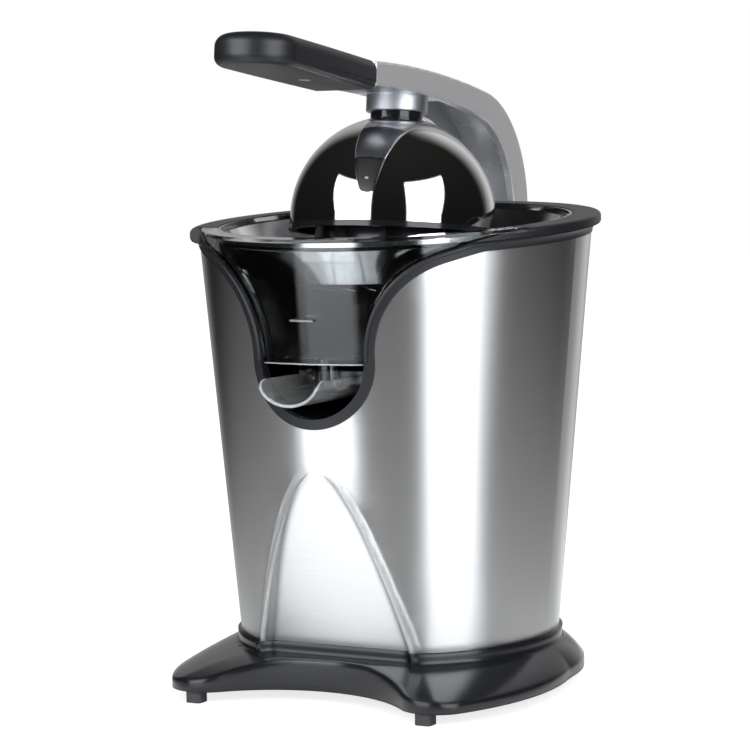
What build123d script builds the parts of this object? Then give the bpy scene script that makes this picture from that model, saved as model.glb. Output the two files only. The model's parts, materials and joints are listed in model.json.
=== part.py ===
from build123d import *

import os
from math import atan2, cos, degrees, hypot, radians, sin, sqrt, tan

os.makedirs("parts", exist_ok=True)

# Lever-operated electric citrus press, in millimetres and degrees, +Z up, front towards -Y.
# The drive axis is upright. Radii and plan places are measured from it, heights from the worktop.

# Rim radius, and the lever's reach from the drive axis to the front and behind the rim.
# The origin lies under the middle of the whole length.
RIM_R = 110.0
GRIP_REACH = 165.5
ARM_BEHIND = 25.0
ARM_BACK = RIM_R + ARM_BEHIND
DRIVE_Y = (GRIP_REACH - ARM_BACK) / 2

# Clearances
SEAT = 0.1
SLIP = 0.3
RUNNING = 0.06
PRESS = 0.025

# Base
FOOT_H = 6.0
FOOT_SIZE = 9.0
FRONT_FOOT = (66.0, -105.0)
REAR_FOOT = (62.0, 68.0)
BASE_R = 99.5
BASE_EDGE = 4.5
BASE_WALL = 3.0
BASE_SKIRT = 11.8
WING_X = 75.6
WING_REACH = 112.5
WING_SIDE = (101.1, -51.2)
WING_ROUND = 19.5
WING_SPARE = 0.6
WAIST_ROUND = 150.0
NOTCH_R = 73.0
NOTCH_DEPTH = 82.7
BAND_H = 5.7
BAND_PROUD = 2.0
COVER_T = 2.5
BASE_BORE = 62.0
UPSTAND_H = 6.0
VENT_LENGTH = 44.0
VENT_WIDTH = 3.0
VENT_PITCH = 8.0
VENT_COUNT = 7
BASE_SCREW = (62.0, 60.0)
BASE_BOSS_R = 4.0
GROMMET_R = 4.6
GROMMET_BORE = 3.2
GROMMET_FLANGE = 1.6

# Steel body sleeve
SLEEVE_R = 86.0
SLEEVE_UNDER_RIM = 5.35
SLEEVE_WALL = 0.9
BAY_TOP = 121.4
BAY_HALF = 39.8
BAY_FOOT = 69.0
BAY_DRAFT = 45.0

# Rim: its plane leans down towards the front
RIM_Z = 247.1
RIM_TILT = 4.15
RIM_WIDTH = 14.6
RIM_LIP = 4.4
RIM_DROP = 10.0
RIM_SKIRT = 12.0
RIM_ROUND = 2.0
RIM_GROOVE = 0.8
RIM_SHOULDER = 1.6
RIM_COVE = 4.8
RIM_SKIRT_IN = 8.2

# Spout opening in the front: a round foot, short straight sides and flared shoulders
THROAT_HALF = 34.7
THROAT_Z = 177.7
THROAT_SIDE = 2.3
THROAT_FLARE = 50.0
THROAT_LEAN = 20.0
SURROUND_WIDTH = 5.2
WINDOW_BACK = 40.0
SURROUND_PROUD = 0.8

# Inner housing that carries the juice collector and the drive
PAN_Z = 142.0
PAN_FLOOR = 3.0
PAN_GAP = 2.07
PAN_LAP = 2.9
PAN_WALL = 2.0
TOWER_R = 12.0
TOWER_TOP = 188.0
RIB_T = 3.0
RIB_INNER = 24.0
RIB_SHORT = 15.2
RIB_ANGLES = (30.0, 90.0, 150.0)

# Juice collector, sieve and spout
COLLECTOR_Z = 176.0
COLLECTOR_GAP = 4.07
COLLECTOR_SLIP = 0.5
COLLECTOR_BAND = 19.0
COLLECTOR_WALL = 1.8
COLLECTOR_FLOOR = 2.5
COLLECTOR_FALL = 3.0
COLLECTOR_SHY = 0.3
APRON_WALL = 2.0
APRON_SHY = 1.6
CHIMNEY_BORE = 13.5
CHIMNEY_WALL = 2.0
CHIMNEY_TOP = 205.0
LEDGE_DROP = 5.5
LEDGE_H = 2.0
LEDGE_IN = 2.1
SIEVE_BEAD = 2.4
SIEVE_DEPTH = 25.5
SIEVE_TAPER = 12.8
SIEVE_T = 1.0
SIEVE_HUB_R = 22.0
SIEVE_FALL = 14.0
SLOT_COUNT = 28
SLOT_LENGTH = 24.0
SLOT_WIDTH = 2.6
SLOT_MARGIN = 6.0
SPOUT_HALF = 17.5
SPOUT_DEPTH = 13.5
SPOUT_WALL = 1.6
SPOUT_Z = 170.0
SPOUT_OUT = 11.0
SPOUT_TAIL = 20.0
SPOUT_ROUND = 7.0
SPOUT_PIVOT_V = 12.0
SPOUT_PIVOT_Z = 168.0
SPOUT_PIN_R = 3.0
EAR_T = 3.0
EAR_R = 5.5
OUTLET_EDGE = 11.0
OUTLET_BORE = 5.0
OUTLET_WALL = 1.8
OUTLET_END = 163.5
SEAL_R = 7.5
SEAL_TOP = 160.4

# Reamer cone
REAMER_Z = 221.0
REAMER_CORE_R = 37.0
REAMER_R = 44.0
REAMER_SKIRT = 12.0
REAMER_TOP = 281.0
REAMER_WALL = 3.0
REAMER_TIP = 3.0
REAMER_FLANGE = 3.0
FIN_COUNT = 10
FIN_T = 3.6
HUB_R = 9.5
HUB_DROP = 15.0
SOCKET_TOP = 218.0

# Drive spindle and its press switch
SPINDLE_R = 5.0
SPINDLE_LOW = 98.0
SPINDLE_HEX = 10.0
NOSE_HEX = 8.0
NOSE_LOW = 196.0
NOSE_TOP = 214.0
PRESS_TRAVEL = 3.0
BUSH_R = 8.5
BUSH_H = 12.0
SHAFT_SEAL_H = 3.0
PLUNGER_R = 8.0
PLUNGER_LOW = 88.0
FINGER_T = 2.5
FINGER_WIDTH = 6.0
FINGER_REACH = 28.0
SPRING_R = 6.0
SPRING_WALL = 1.6
STRAP_T = 1.5
STRAP_Z = 75.0
STRAP_HALF = 11.5
STRAP_WIDTH = 18.0
SWITCH_V = 24.0
SWITCH_SIZE = (18.0, 6.4)
SWITCH_CLEAR = 0.6
BUTTON_R = 1.2
BUTTON_LENGTH = 5.0

# Gears: two straight-toothed pairs between the motor and the drive spindle
MOTOR_V = 30.0
MODULE_1 = 1.25
PINION_1 = 10
WHEEL_1 = 40
MODULE_2 = 1.5
PINION_2 = 10
WHEEL_2 = 38
ADDENDUM = 0.8
DEDENDUM = 1.2
TOOTH_ROOT = 0.85
TOOTH_TIP = 0.32
GEARBOX_Z = 92.0
GEARBOX_FLOOR = 2.5
GEARBOX_H = 32.0
GEARBOX_WALL = 2.0
GEARBOX_GAP = 2.0
GEARBOX_LID = 2.5
WHEEL_1_Z = 98.0
WHEEL_1_H = 8.0
WHEEL_2_Z = 109.0
WHEEL_2_H = 11.0
IDLER_PIN_R = 2.5
POST_R = 3.0
EAR_COLUMN_R = 5.0
SCREW_R = 1.6
SCREW_HEAD_R = 3.2
SCREW_HEAD_H = 1.6

# Motor: shaded-pole, with its winding on one leg of the stack
STACK_Z = 44.0
STACK_H = 30.0
STACK_LEFT = 28.0
STACK_HALF = 26.0
STACK_BORE = 20.3
WINDOW_NEAR = 25.0
WINDOW_WIDTH = 9.0
WINDOW_HALF = 18.0
LEG_WIDTH = 12.0
COIL_GAP = 0.4
ROTOR_R = 19.7
ROTOR_SHAFT_R = 4.0
ROTOR_LOW = 35.0
MOTOR_BUSH_R = 6.5
END_PLATE_T = 3.0
END_PLATE_Z = 36.0
MOTOR_BUSH_H = 6.0

# Lever arm, seen from the side: top and under curves, bend, heel and pin
ARM_HALF = 19.0
ARM_WALL = 4.5
ARM_TOP_Z = 329.0
ARM_UNDER_Z = 316.3
ARM_FRONT = 62.0
ARM_BEND = (ARM_BACK - 55.0, 316.0)
ARM_BEND_UNDER = (ARM_BACK - 63.0, 301.7)
ARM_HEEL_Z = 247.0
HEEL_R = 9.5
PIN_Z = 238.0
PIN_R = 4.0
PIN_HEAD_R = 6.0
PIN_HEAD_H = 1.6
ARM_EDGE = 1.5
CHANNEL_FRONT = 25.0
ARM_COVER_T = 2.0
ARM_COVER_EDGE = 1.6
ARM_COVER_END = 14.6
HEEL_CUT = 14.0
LUG_R = 8.5
BRACKET_LOW = 200.0
BRACKET_SHORT = 5.0
BRACKET_SCREW_Z = 214.0
BRACKET_SCREW_X = 8.0

# Grip, on a plane that rises towards its tip
GRIP_V = -57.0
GRIP_Z = 322.1
GRIP_RISE = 5.8
GRIP_T = 15.4
GRIP_ROOT_HALF = 19.4
GRIP_HALF = 21.4
GRIP_TOP_ROUND = 6.0
GRIP_UNDER_ROUND = 4.5
TONGUE_HALF = 11.0
TONGUE_T = 6.0
TONGUE_LENGTH = 64.0
PLATE_T = 3.0
PLATE_INSET = 5.2
GRIP_SCREW = 41.0

# Press dome under the arm
DOME_V = -3.0
DOME_Z = 242.4
DOME_TILT = 6.2
DOME_R = 55.0
DOME_SKIRT = 4.8
DOME_WALL = 1.4
LINER_T = 2.0
LIP_H = 3.0
LIP_PROUD = 0.8
NECK_R = 14.0
NECK_H = 1.9
COLLAR_R = 16.5
COLLAR_H = 10.2
COLLAR_EDGE = 0.8
DOME_SCREW_R = 3.0
DOME_SCREW_HEAD_R = 5.0
DOME_SCREW_HEAD_H = 3.2
DOME_SCREW_GRIP = 9.0

# Radii and places that follow from the rim
RIM_BORE = RIM_R - RIM_WIDTH
RIM_COVE_R = RIM_R - RIM_COVE
RIM_SKIRT_R = RIM_R - RIM_SKIRT_IN
COLLECTOR_R = RIM_BORE - COLLECTOR_SLIP
COLLECTOR_KNEE = RIM_Z - COLLECTOR_BAND
SIEVE_R = COLLECTOR_R - COLLECTOR_WALL - SLIP
SIEVE_FOOT_R = SIEVE_R - SIEVE_TAPER
SLOT_R = SIEVE_FOOT_R - SLOT_MARGIN - SLOT_LENGTH / 2
SPOUT_LIP = RIM_R + SPOUT_OUT
PIN_V = ARM_BACK - HEEL_R
BRACKET_FOOT_V = PIN_V - LUG_R - BRACKET_SHORT

# Heights that follow from the sizes above
BASE_TOP = FOOT_H + BASE_EDGE + BASE_SKIRT
SLEEVE_Z = BASE_TOP + BAND_H
BAND_R = SLEEVE_R + BAND_PROUD
COVER_TOP = FOOT_H + COVER_T
GROMMET_Z = COVER_TOP + GROMMET_R + SLIP
STACK_TOP = STACK_Z + STACK_H
GEARBOX_TOP = GEARBOX_Z + GEARBOX_H
GEARBOX_LID_TOP = GEARBOX_TOP + GEARBOX_LID
PAN_TOP = PAN_Z + PAN_FLOOR
STRAP_TOP = STRAP_Z + STRAP_T
SHELL_TOP = RIM_Z + RIM_R / 2
SWITCH_H = PLUNGER_LOW - PRESS_TRAVEL - SWITCH_CLEAR - STRAP_TOP

# Slopes of the sleeve and of the inner housing, which both run up to the rim
SLEEVE_FLARE = (RIM_R - SLEEVE_UNDER_RIM - SLEEVE_R) / (RIM_Z - RIM_DROP - SLEEVE_Z)
PAN_R = SLEEVE_R + SLEEVE_FLARE * (PAN_Z - SLEEVE_Z) - SLEEVE_WALL - PAN_GAP
PAN_FLARE = (RIM_BORE + PAN_LAP - PAN_R) / (RIM_Z - RIM_SKIRT - PAN_Z)
RIB_OUTER = PAN_R - RIB_SHORT

# Reference planes and axes
FRONT = Plane(origin=(0, DRIVE_Y, 0), x_dir=(1, 0, 0), z_dir=(0, -1, 0))
SIDE = Plane(origin=(0, DRIVE_Y, 0), x_dir=(0, 1, 0), z_dir=(1, 0, 0))
DRIVE = Axis((0, DRIVE_Y, 0), (0, 0, 1))


def level(z):
    """Horizontal plane centred on the drive axis"""
    return Plane(origin=(0, DRIVE_Y, z), x_dir=(1, 0, 0), z_dir=(0, 0, 1))


def leaning(v, z, tilt):
    """Plane through a point of the side view, with its normal leaning back by the tilt"""
    normal = (0, sin(radians(tilt)), cos(radians(tilt)))
    return Plane(origin=(0, DRIVE_Y + v, z), x_dir=(1, 0, 0), z_dir=normal)


def upright(plane):
    """Section plane that has the given plane's normal as its local y"""
    return Plane(origin=plane.origin, x_dir=plane.x_dir, z_dir=-plane.y_dir)


RIM = leaning(0, RIM_Z, -RIM_TILT)
RIM_AXIS = Axis(RIM.origin, RIM.z_dir)
DOME = leaning(DOME_V, DOME_Z, DOME_TILT)
DOME_AXIS = Axis(DOME.origin, DOME.z_dir)
GRIP = Plane(
    origin=(0, DRIVE_Y + GRIP_V, GRIP_Z),
    x_dir=(-1, 0, 0),
    z_dir=(0, sin(radians(GRIP_RISE)), cos(radians(GRIP_RISE))),
)
GRIP_REAR = Plane(origin=GRIP.origin, x_dir=(1, 0, 0), z_dir=GRIP.y_dir)


def sleeve_radius(z):
    """Outer radius of the steel sleeve"""
    return SLEEVE_R + SLEEVE_FLARE * (z - SLEEVE_Z)


def pan_radius(z):
    """Outer radius of the inner housing"""
    return PAN_R + PAN_FLARE * (z - PAN_Z)


COLLECTOR_FOOT_R = pan_radius(COLLECTOR_Z) - PAN_WALL - COLLECTOR_GAP
OUTLET_V = COLLECTOR_FOOT_R - OUTLET_EDGE
SPOUT_PIVOT = (OUTLET_V - SPOUT_PIVOT_V, SPOUT_PIVOT_Z)
SPOUT_BACK = OUTLET_V - SPOUT_TAIL


def blend(a, b, t):
    """Point at the share t of the way from a to b"""
    return (a[0] + (b[0] - a[0]) * t, a[1] + (b[1] - a[1]) * t)


# Front bay of the sleeve: a parabolic arch with leaning walls, whose flat floor slopes in to the base


def arch_face(half, top):
    """Parabolic arch that stands on a deep plain foot"""
    with BuildSketch() as face:
        with BuildLine():
            Bezier((-half, 0), (0, 2 * top), (half, 0))
            Polyline((half, 0), (half, -BASE_TOP), (-half, -BASE_TOP), (-half, 0))
        make_face()
    return face.sketch


def bay_form(inset):
    """Space cut from the sleeve's front, grown by the inset"""
    slope = sleeve_radius(BAY_TOP) - BAY_FOOT
    floor = Plane(
        origin=(0, DRIVE_Y - BAY_FOOT, SLEEVE_Z),
        x_dir=(1, 0, 0),
        z_dir=(0, SLEEVE_Z - BAY_TOP, -slope),
    )
    length = hypot(BAY_TOP - SLEEVE_Z, slope)
    with BuildPart() as bay:
        for height in (-inset, BAY_FOOT / 2):
            grown = (height + inset) * tan(radians(BAY_DRAFT)) + inset * tan(radians(BAY_DRAFT / 2))
            with BuildSketch(floor.offset(height)):
                add(arch_face(BAY_HALF + grown, length + grown))
        loft(ruled=True)
    return bay.part


def sleeve_form(inset, low, high):
    """Solid of the body between two heights, drawn in by the inset"""
    bay = bay_form(inset)
    with BuildPart() as form:
        with BuildSketch(FRONT):
            with BuildLine():
                Polyline(
                    (0, low),
                    (sleeve_radius(low) - inset, low),
                    (sleeve_radius(high) - inset, high),
                    (0, high),
                    close=True,
                )
            make_face()
        revolve(axis=DRIVE)
        add(bay, mode=Mode.SUBTRACT)
    return form.part


def throat_face(half, flare):
    """Front outline of the spout opening, whose flared sides run out towards the rim"""
    side = THROAT_Z + THROAT_SIDE
    lean = radians(THROAT_LEAN)
    end = (half + flare - flare * sin(lean), side + flare * cos(lean))
    far = (end[0] + RIM_R, end[1] + RIM_R * tan(lean))
    with BuildSketch() as face:
        with BuildLine():
            CenterArc((0, THROAT_Z), half, 180, 180)
            Line((half, THROAT_Z), (half, side))
            CenterArc((half + flare, side), flare, 180, THROAT_LEAN - 90)
            Polyline(end, far, (far[0], SHELL_TOP), (-far[0], SHELL_TOP), (-far[0], far[1]), (-end[0], end[1]))
            CenterArc((-half - flare, side), flare, 90 - THROAT_LEAN, THROAT_LEAN - 90)
            Line((-half, side), (-half, THROAT_Z))
        make_face()
    return face.sketch


def front_window(clear):
    """Space of the spout opening in front of the bowl, drawn in by the clearance"""
    inset = SURROUND_WIDTH + clear
    with BuildPart() as window:
        with BuildSketch(FRONT.offset(WINDOW_BACK + clear)):
            add(throat_face(THROAT_HALF - inset, THROAT_FLARE + inset))
        extrude(amount=2 * RIM_R)
    return window.part


# Base skirt: its section is a list of shares inwards and upwards

SKIRT_CURVE = ((0, 0), (0.3, 0.4), (0.65, 0.74), (1, 1))


def base_outline(t, inset):
    """Plan of the base at the share t of the way from its edge to the sleeve's band"""
    back = BASE_R + (BAND_R - BASE_R) * t - inset
    wing_angle = atan2(-WING_REACH, WING_X)
    wing = blend((WING_X, -WING_REACH), (BAND_R * cos(wing_angle), BAND_R * sin(wing_angle)), t)
    side_angle = atan2(WING_SIDE[1], WING_SIDE[0])
    side = blend(WING_SIDE, (BAND_R * cos(side_angle), BAND_R * sin(side_angle)), t)
    front = blend((0, -WING_REACH - BASE_EDGE), (0, -BAND_R), t)
    tip = (wing[0] - inset, wing[1] + inset)
    flank = (side[0] - inset, side[1])
    with BuildSketch() as face:
        with BuildLine():
            CenterArc((0, 0), back, 0, 180)
            ThreePointArc((-back, 0), (-flank[0], flank[1]), (-tip[0], tip[1]))
            ThreePointArc((-tip[0], tip[1]), (0, front[1] + inset), tip)
            ThreePointArc(tip, flank, (back, 0))
        make_face()
    return face.sketch


def side_circle():
    """Centre and radius of the arc along the base's right side"""
    (ax, ay), (bx, by), (cx, cy) = (BASE_R, 0), WING_SIDE, (WING_X, -WING_REACH)
    turn = 2 * (ax * (by - cy) + bx * (cy - ay) + cx * (ay - by))
    a, b, c = ax**2 + ay**2, bx**2 + by**2, cx**2 + cy**2
    x = (a * (by - cy) + b * (cy - ay) + c * (ay - by)) / turn
    y = (a * (cx - bx) + b * (ax - cx) + c * (bx - ax)) / turn
    return x, y, hypot(ax - x, ay - y)


def notched_outline(inset):
    """Plan of the base with the round notch for a glass between its round wing tips"""
    x, y, radius = side_circle()
    radius = radius - inset
    start = x + sqrt(radius**2 - y**2)
    low = -NOTCH_DEPTH - NOTCH_R
    end = x + sqrt(radius**2 - (low - y) ** 2)
    with BuildSketch() as face:
        with BuildLine():
            CenterArc((0, 0), start, 0, 180)
            RadiusArc((start, 0), (end, low), radius)
            Line((end, low), (-end, low))
            RadiusArc((-end, low), (-start, 0), radius)
        make_face()
        with Locations((0, low)):
            Circle(NOTCH_R + inset, mode=Mode.SUBTRACT)
        fillet(face.vertices().filter_by_position(Axis.Y, low - NOTCH_R, -WING_REACH), WING_ROUND - inset)
        fillet(face.vertices().filter_by_position(Axis.Y, -BASE_WALL, BASE_WALL), WAIST_ROUND)
    return face.sketch


def skirt_form(inset, edge):
    """Solid of the base skirt, drawn in by the inset, with an upright edge of the given height"""
    rise = BASE_EDGE + BASE_SKIRT - inset - edge
    with BuildPart() as form:
        with BuildSketch(level(FOOT_H - inset)):
            add(base_outline(0, inset - WING_SPARE))
        extrude(amount=edge + inset)
        for share, height in SKIRT_CURVE:
            with BuildSketch(level(FOOT_H + edge + rise * height)):
                add(base_outline(share, inset - WING_SPARE))
        loft()
        with BuildSketch(level(0)):
            add(notched_outline(inset))
        extrude(amount=SLEEVE_Z, mode=Mode.INTERSECT)
    return form.part


skirt_outer = skirt_form(0, BASE_EDGE)
skirt_inner = skirt_form(BASE_WALL, COVER_T + SEAT)
upstand_outer = sleeve_form(SLEEVE_WALL + SEAT, SLEEVE_Z - BAND_H, SLEEVE_Z + UPSTAND_H)
band_outer = sleeve_form(-BAND_PROUD, BASE_TOP - BASE_WALL, SLEEVE_Z)
BASE_SCREWS = [(x, y) for x in (-BASE_SCREW[0], BASE_SCREW[0]) for y in (-BASE_SCREW[1], BASE_SCREW[1])]

with BuildPart() as base_skirt:
    add(skirt_outer)
    add(skirt_inner, mode=Mode.SUBTRACT)
    add(band_outer)
    add(upstand_outer)
    with BuildSketch(level(FOOT_H)):
        Circle(BASE_BORE)
    extrude(amount=SLEEVE_Z, mode=Mode.SUBTRACT)
    with BuildSketch(level(COVER_TOP + SEAT)):
        with Locations(*BASE_SCREWS):
            Circle(BASE_BOSS_R)
    extrude(amount=BASE_TOP - COVER_TOP - SEAT)
    with BuildSketch(level(COVER_TOP)):
        with Locations(*BASE_SCREWS):
            Circle(SCREW_R + SEAT)
    extrude(amount=BASE_EDGE + BASE_WALL, mode=Mode.SUBTRACT)
    with BuildSketch(FRONT.offset(-BASE_R - BASE_WALL)):
        with Locations((0, GROMMET_Z)):
            Circle(GROMMET_R + SEAT)
    extrude(amount=BASE_R - BASE_BORE, mode=Mode.SUBTRACT)

with BuildPart() as bottom_cover:
    with BuildSketch(level(FOOT_H)):
        add(notched_outline(BASE_WALL + SEAT))
        with GridLocations(VENT_PITCH, 1, VENT_COUNT, 1):
            SlotOverall(VENT_LENGTH, VENT_WIDTH, rotation=90, mode=Mode.SUBTRACT)
    extrude(amount=COVER_T)
    with BuildSketch(level(FOOT_H)):
        with Locations(*BASE_SCREWS):
            Circle(SCREW_R + SEAT)
    extrude(amount=COVER_T, mode=Mode.SUBTRACT)
    with BuildSketch(level(FOOT_H)):
        with Locations(*BASE_SCREWS):
            Circle(SCREW_HEAD_R + SEAT)
    extrude(amount=SCREW_HEAD_H, mode=Mode.SUBTRACT)

with BuildPart() as feet:
    with BuildSketch(level(0)):
        for place in (FRONT_FOOT, REAR_FOOT):
            with Locations(place, (-place[0], place[1])):
                RectangleRounded(FOOT_SIZE, FOOT_SIZE, FOOT_SIZE / 4)
    extrude(amount=FOOT_H)

with BuildPart() as bottom_screws:
    with BuildSketch(level(FOOT_H)):
        with Locations(*BASE_SCREWS):
            Circle(SCREW_HEAD_R)
    extrude(amount=SCREW_HEAD_H)
    with BuildSketch(level(FOOT_H)):
        with Locations(*BASE_SCREWS):
            Circle(SCREW_R)
    extrude(amount=COVER_T + BASE_EDGE + BASE_WALL - SEAT)

with BuildPart() as cord_grommet:
    with BuildSketch(FRONT.offset(-BASE_R - GROMMET_FLANGE)):
        with Locations((0, GROMMET_Z)):
            Circle(GROMMET_R)
            Circle(GROMMET_BORE, mode=Mode.SUBTRACT)
    extrude(amount=BASE_R - BAND_R + BASE_WALL)

# Steel sleeve

sleeve_outer = sleeve_form(0, SLEEVE_Z, SHELL_TOP)
sleeve_inner = sleeve_form(SLEEVE_WALL, SLEEVE_Z - BAND_H, SHELL_TOP + BAND_H)
BRACKET_SCREWS = [(-BRACKET_SCREW_X, BRACKET_SCREW_Z), (BRACKET_SCREW_X, BRACKET_SCREW_Z)]
BRACKET_SEAT_V = sleeve_radius(BRACKET_SCREW_Z)

with BuildPart() as steel_sleeve:
    add(sleeve_outer)
    add(sleeve_inner, mode=Mode.SUBTRACT)
    split(bisect_by=RIM.offset(-RIM_DROP - SEAT), keep=Keep.BOTTOM)
    with BuildSketch(FRONT):
        add(throat_face(THROAT_HALF, THROAT_FLARE))
    extrude(amount=RIM_R, mode=Mode.SUBTRACT)
    with BuildSketch(FRONT):
        with Locations(*BRACKET_SCREWS):
            Circle(SCREW_R + SEAT)
    extrude(amount=-RIM_R, mode=Mode.SUBTRACT)

# Rim with the surround of the spout opening

with BuildPart() as rim_frame:
    with BuildSketch(FRONT):
        with BuildLine():
            Polyline(
                (pan_radius(PAN_Z) + SEAT, PAN_Z),
                (sleeve_radius(PAN_Z) + SURROUND_PROUD, PAN_Z),
                (sleeve_radius(SHELL_TOP) + SURROUND_PROUD, SHELL_TOP),
                (pan_radius(SHELL_TOP) + SEAT, SHELL_TOP),
                close=True,
            )
        make_face()
    revolve(axis=DRIVE)
    with BuildSketch(FRONT):
        add(throat_face(THROAT_HALF - SEAT, THROAT_FLARE))
    extrude(amount=RIM_R, mode=Mode.INTERSECT)
    split(bisect_by=RIM.offset(-RIM_LIP), keep=Keep.BOTTOM)
    with BuildSketch(upright(RIM)):
        with BuildLine():
            Line((RIM_BORE - RIM_SHOULDER, 0), (RIM_R - RIM_ROUND, 0))
            JernArc((RIM_R - RIM_ROUND, 0), (1, 0), RIM_ROUND, -90)
            Polyline(
                (RIM_R, -RIM_ROUND),
                (RIM_R, -RIM_LIP),
                (RIM_R - RIM_GROOVE, -RIM_LIP - RIM_GROOVE / 2),
                (RIM_R - RIM_GROOVE / 2, -RIM_LIP - RIM_GROOVE),
            )
            TangentArc(
                (RIM_COVE_R, -RIM_DROP),
                (RIM_R - RIM_GROOVE / 2, -RIM_LIP - RIM_GROOVE),
                tangent=(0, 1),
            )
            Polyline(
                (RIM_COVE_R, -RIM_DROP),
                (RIM_SKIRT_R, -RIM_DROP),
                (RIM_SKIRT_R, -RIM_SKIRT),
                (RIM_BORE - RIM_SHOULDER, -RIM_SKIRT),
                (RIM_BORE - RIM_SHOULDER, 0),
            )
        make_face()
    revolve(axis=RIM_AXIS)
    with BuildSketch(level(PAN_Z)):
        Circle(RIM_BORE)
    extrude(amount=SHELL_TOP - PAN_Z, mode=Mode.SUBTRACT)
    add(front_window(0), mode=Mode.SUBTRACT)

# Gear train places: the idler stands where both centre distances are met

CENTRES_1 = MODULE_1 * (PINION_1 + WHEEL_1) / 2
CENTRES_2 = MODULE_2 * (PINION_2 + WHEEL_2) / 2
MOTOR_AT = (0, MOTOR_V)
IDLER_V = (CENTRES_2**2 - CENTRES_1**2 + MOTOR_V**2) / (2 * MOTOR_V)
IDLER_AT = (sqrt(CENTRES_2**2 - IDLER_V**2), IDLER_V)
MESH_1 = degrees(atan2(IDLER_AT[1] - MOTOR_AT[1], IDLER_AT[0] - MOTOR_AT[0]))
MESH_2 = degrees(atan2(-IDLER_AT[1], -IDLER_AT[0]))


def tip_radius(teeth, module):
    """Radius over the tips of a gear's teeth"""
    return module * (teeth / 2 + ADDENDUM)


def toothed_face(place, teeth, module, phase):
    """Gear outline with straight-sided teeth, one of them at the phase angle"""
    root = module * (teeth / 2 - DEDENDUM)
    tip = tip_radius(teeth, module)
    with Locations(place):
        Circle(root + module * DEDENDUM / 8)
        with PolarLocations(0, teeth, start_angle=phase):
            Polygon(
                (root, -TOOTH_ROOT * module),
                (tip, -TOOTH_TIP * module),
                (tip, TOOTH_TIP * module),
                (root, TOOTH_ROOT * module),
                align=None,
            )


WHEEL_1_R = tip_radius(WHEEL_1, MODULE_1)
WHEEL_2_R = tip_radius(WHEEL_2, MODULE_2)
CASE_MARGIN = GEARBOX_GAP + GEARBOX_WALL
MOTOR_REACH = hypot(STACK_LEFT - POST_R, STACK_HALF - POST_R) + POST_R
COLUMN_OUT = CASE_MARGIN + EAR_COLUMN_R / 2
COLUMNS = [
    (-WHEEL_2_R - COLUMN_OUT, 0),
    (0, -WHEEL_2_R - COLUMN_OUT),
    (IDLER_AT[0] + WHEEL_1_R + COLUMN_OUT, IDLER_AT[1]),
    (0, MOTOR_V + MOTOR_REACH + EAR_COLUMN_R / 2),
]
POSTS = [
    (-STACK_LEFT + POST_R, MOTOR_V - STACK_HALF + POST_R),
    (-STACK_LEFT + POST_R, MOTOR_V + STACK_HALF - POST_R),
    (WINDOW_NEAR - POST_R, MOTOR_V - STACK_HALF + POST_R),
    (WINDOW_NEAR - POST_R, MOTOR_V + STACK_HALF - POST_R),
]


def gearbox_face(inset):
    """Gearbox outline: the hull round the gears and the motor"""
    with BuildSketch() as face:
        with BuildLine():
            CenterArc((0, 0), WHEEL_2_R + CASE_MARGIN - inset, 0, 360)
            CenterArc(IDLER_AT, WHEEL_1_R + CASE_MARGIN - inset, 0, 360)
            CenterArc(MOTOR_AT, MOTOR_REACH - inset, 0, 360)
        make_hull()
    return face.sketch


with BuildPart() as gearbox_case:
    with BuildSketch(level(GEARBOX_Z)):
        add(gearbox_face(0))
        with Locations(*COLUMNS):
            Circle(EAR_COLUMN_R)
    extrude(amount=GEARBOX_H)
    with BuildSketch(level(GEARBOX_Z + GEARBOX_FLOOR)):
        add(gearbox_face(GEARBOX_WALL))
    extrude(amount=GEARBOX_H, mode=Mode.SUBTRACT)
    with BuildSketch(level(GEARBOX_Z)):
        with Locations(*POSTS):
            Circle(POST_R)
    extrude(amount=STACK_TOP - GEARBOX_Z)
    with BuildSketch(level(GEARBOX_Z - MOTOR_BUSH_H / 2)):
        with Locations(MOTOR_AT):
            Circle(MOTOR_BUSH_R + GEARBOX_WALL)
    extrude(amount=MOTOR_BUSH_H / 2)
    with BuildSketch(level(GEARBOX_Z + GEARBOX_FLOOR)):
        with Locations(IDLER_AT):
            Circle(IDLER_PIN_R + GEARBOX_WALL)
    extrude(amount=WHEEL_1_Z - GEARBOX_Z - GEARBOX_FLOOR - SLIP)
    with BuildSketch(level(STACK_TOP)):
        Circle(PLUNGER_R + RUNNING)
        with Locations(MOTOR_AT):
            Circle(MOTOR_BUSH_R + SEAT)
        with Locations(*COLUMNS):
            Circle(SCREW_R + SEAT)
    extrude(amount=GEARBOX_TOP - STACK_TOP + GEARBOX_LID, mode=Mode.SUBTRACT)
    with BuildSketch(level(GEARBOX_Z + GEARBOX_FLOOR / 2)):
        with Locations(IDLER_AT):
            Circle(IDLER_PIN_R + SEAT / 2)
    extrude(amount=WHEEL_1_Z - GEARBOX_Z, mode=Mode.SUBTRACT)

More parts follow.
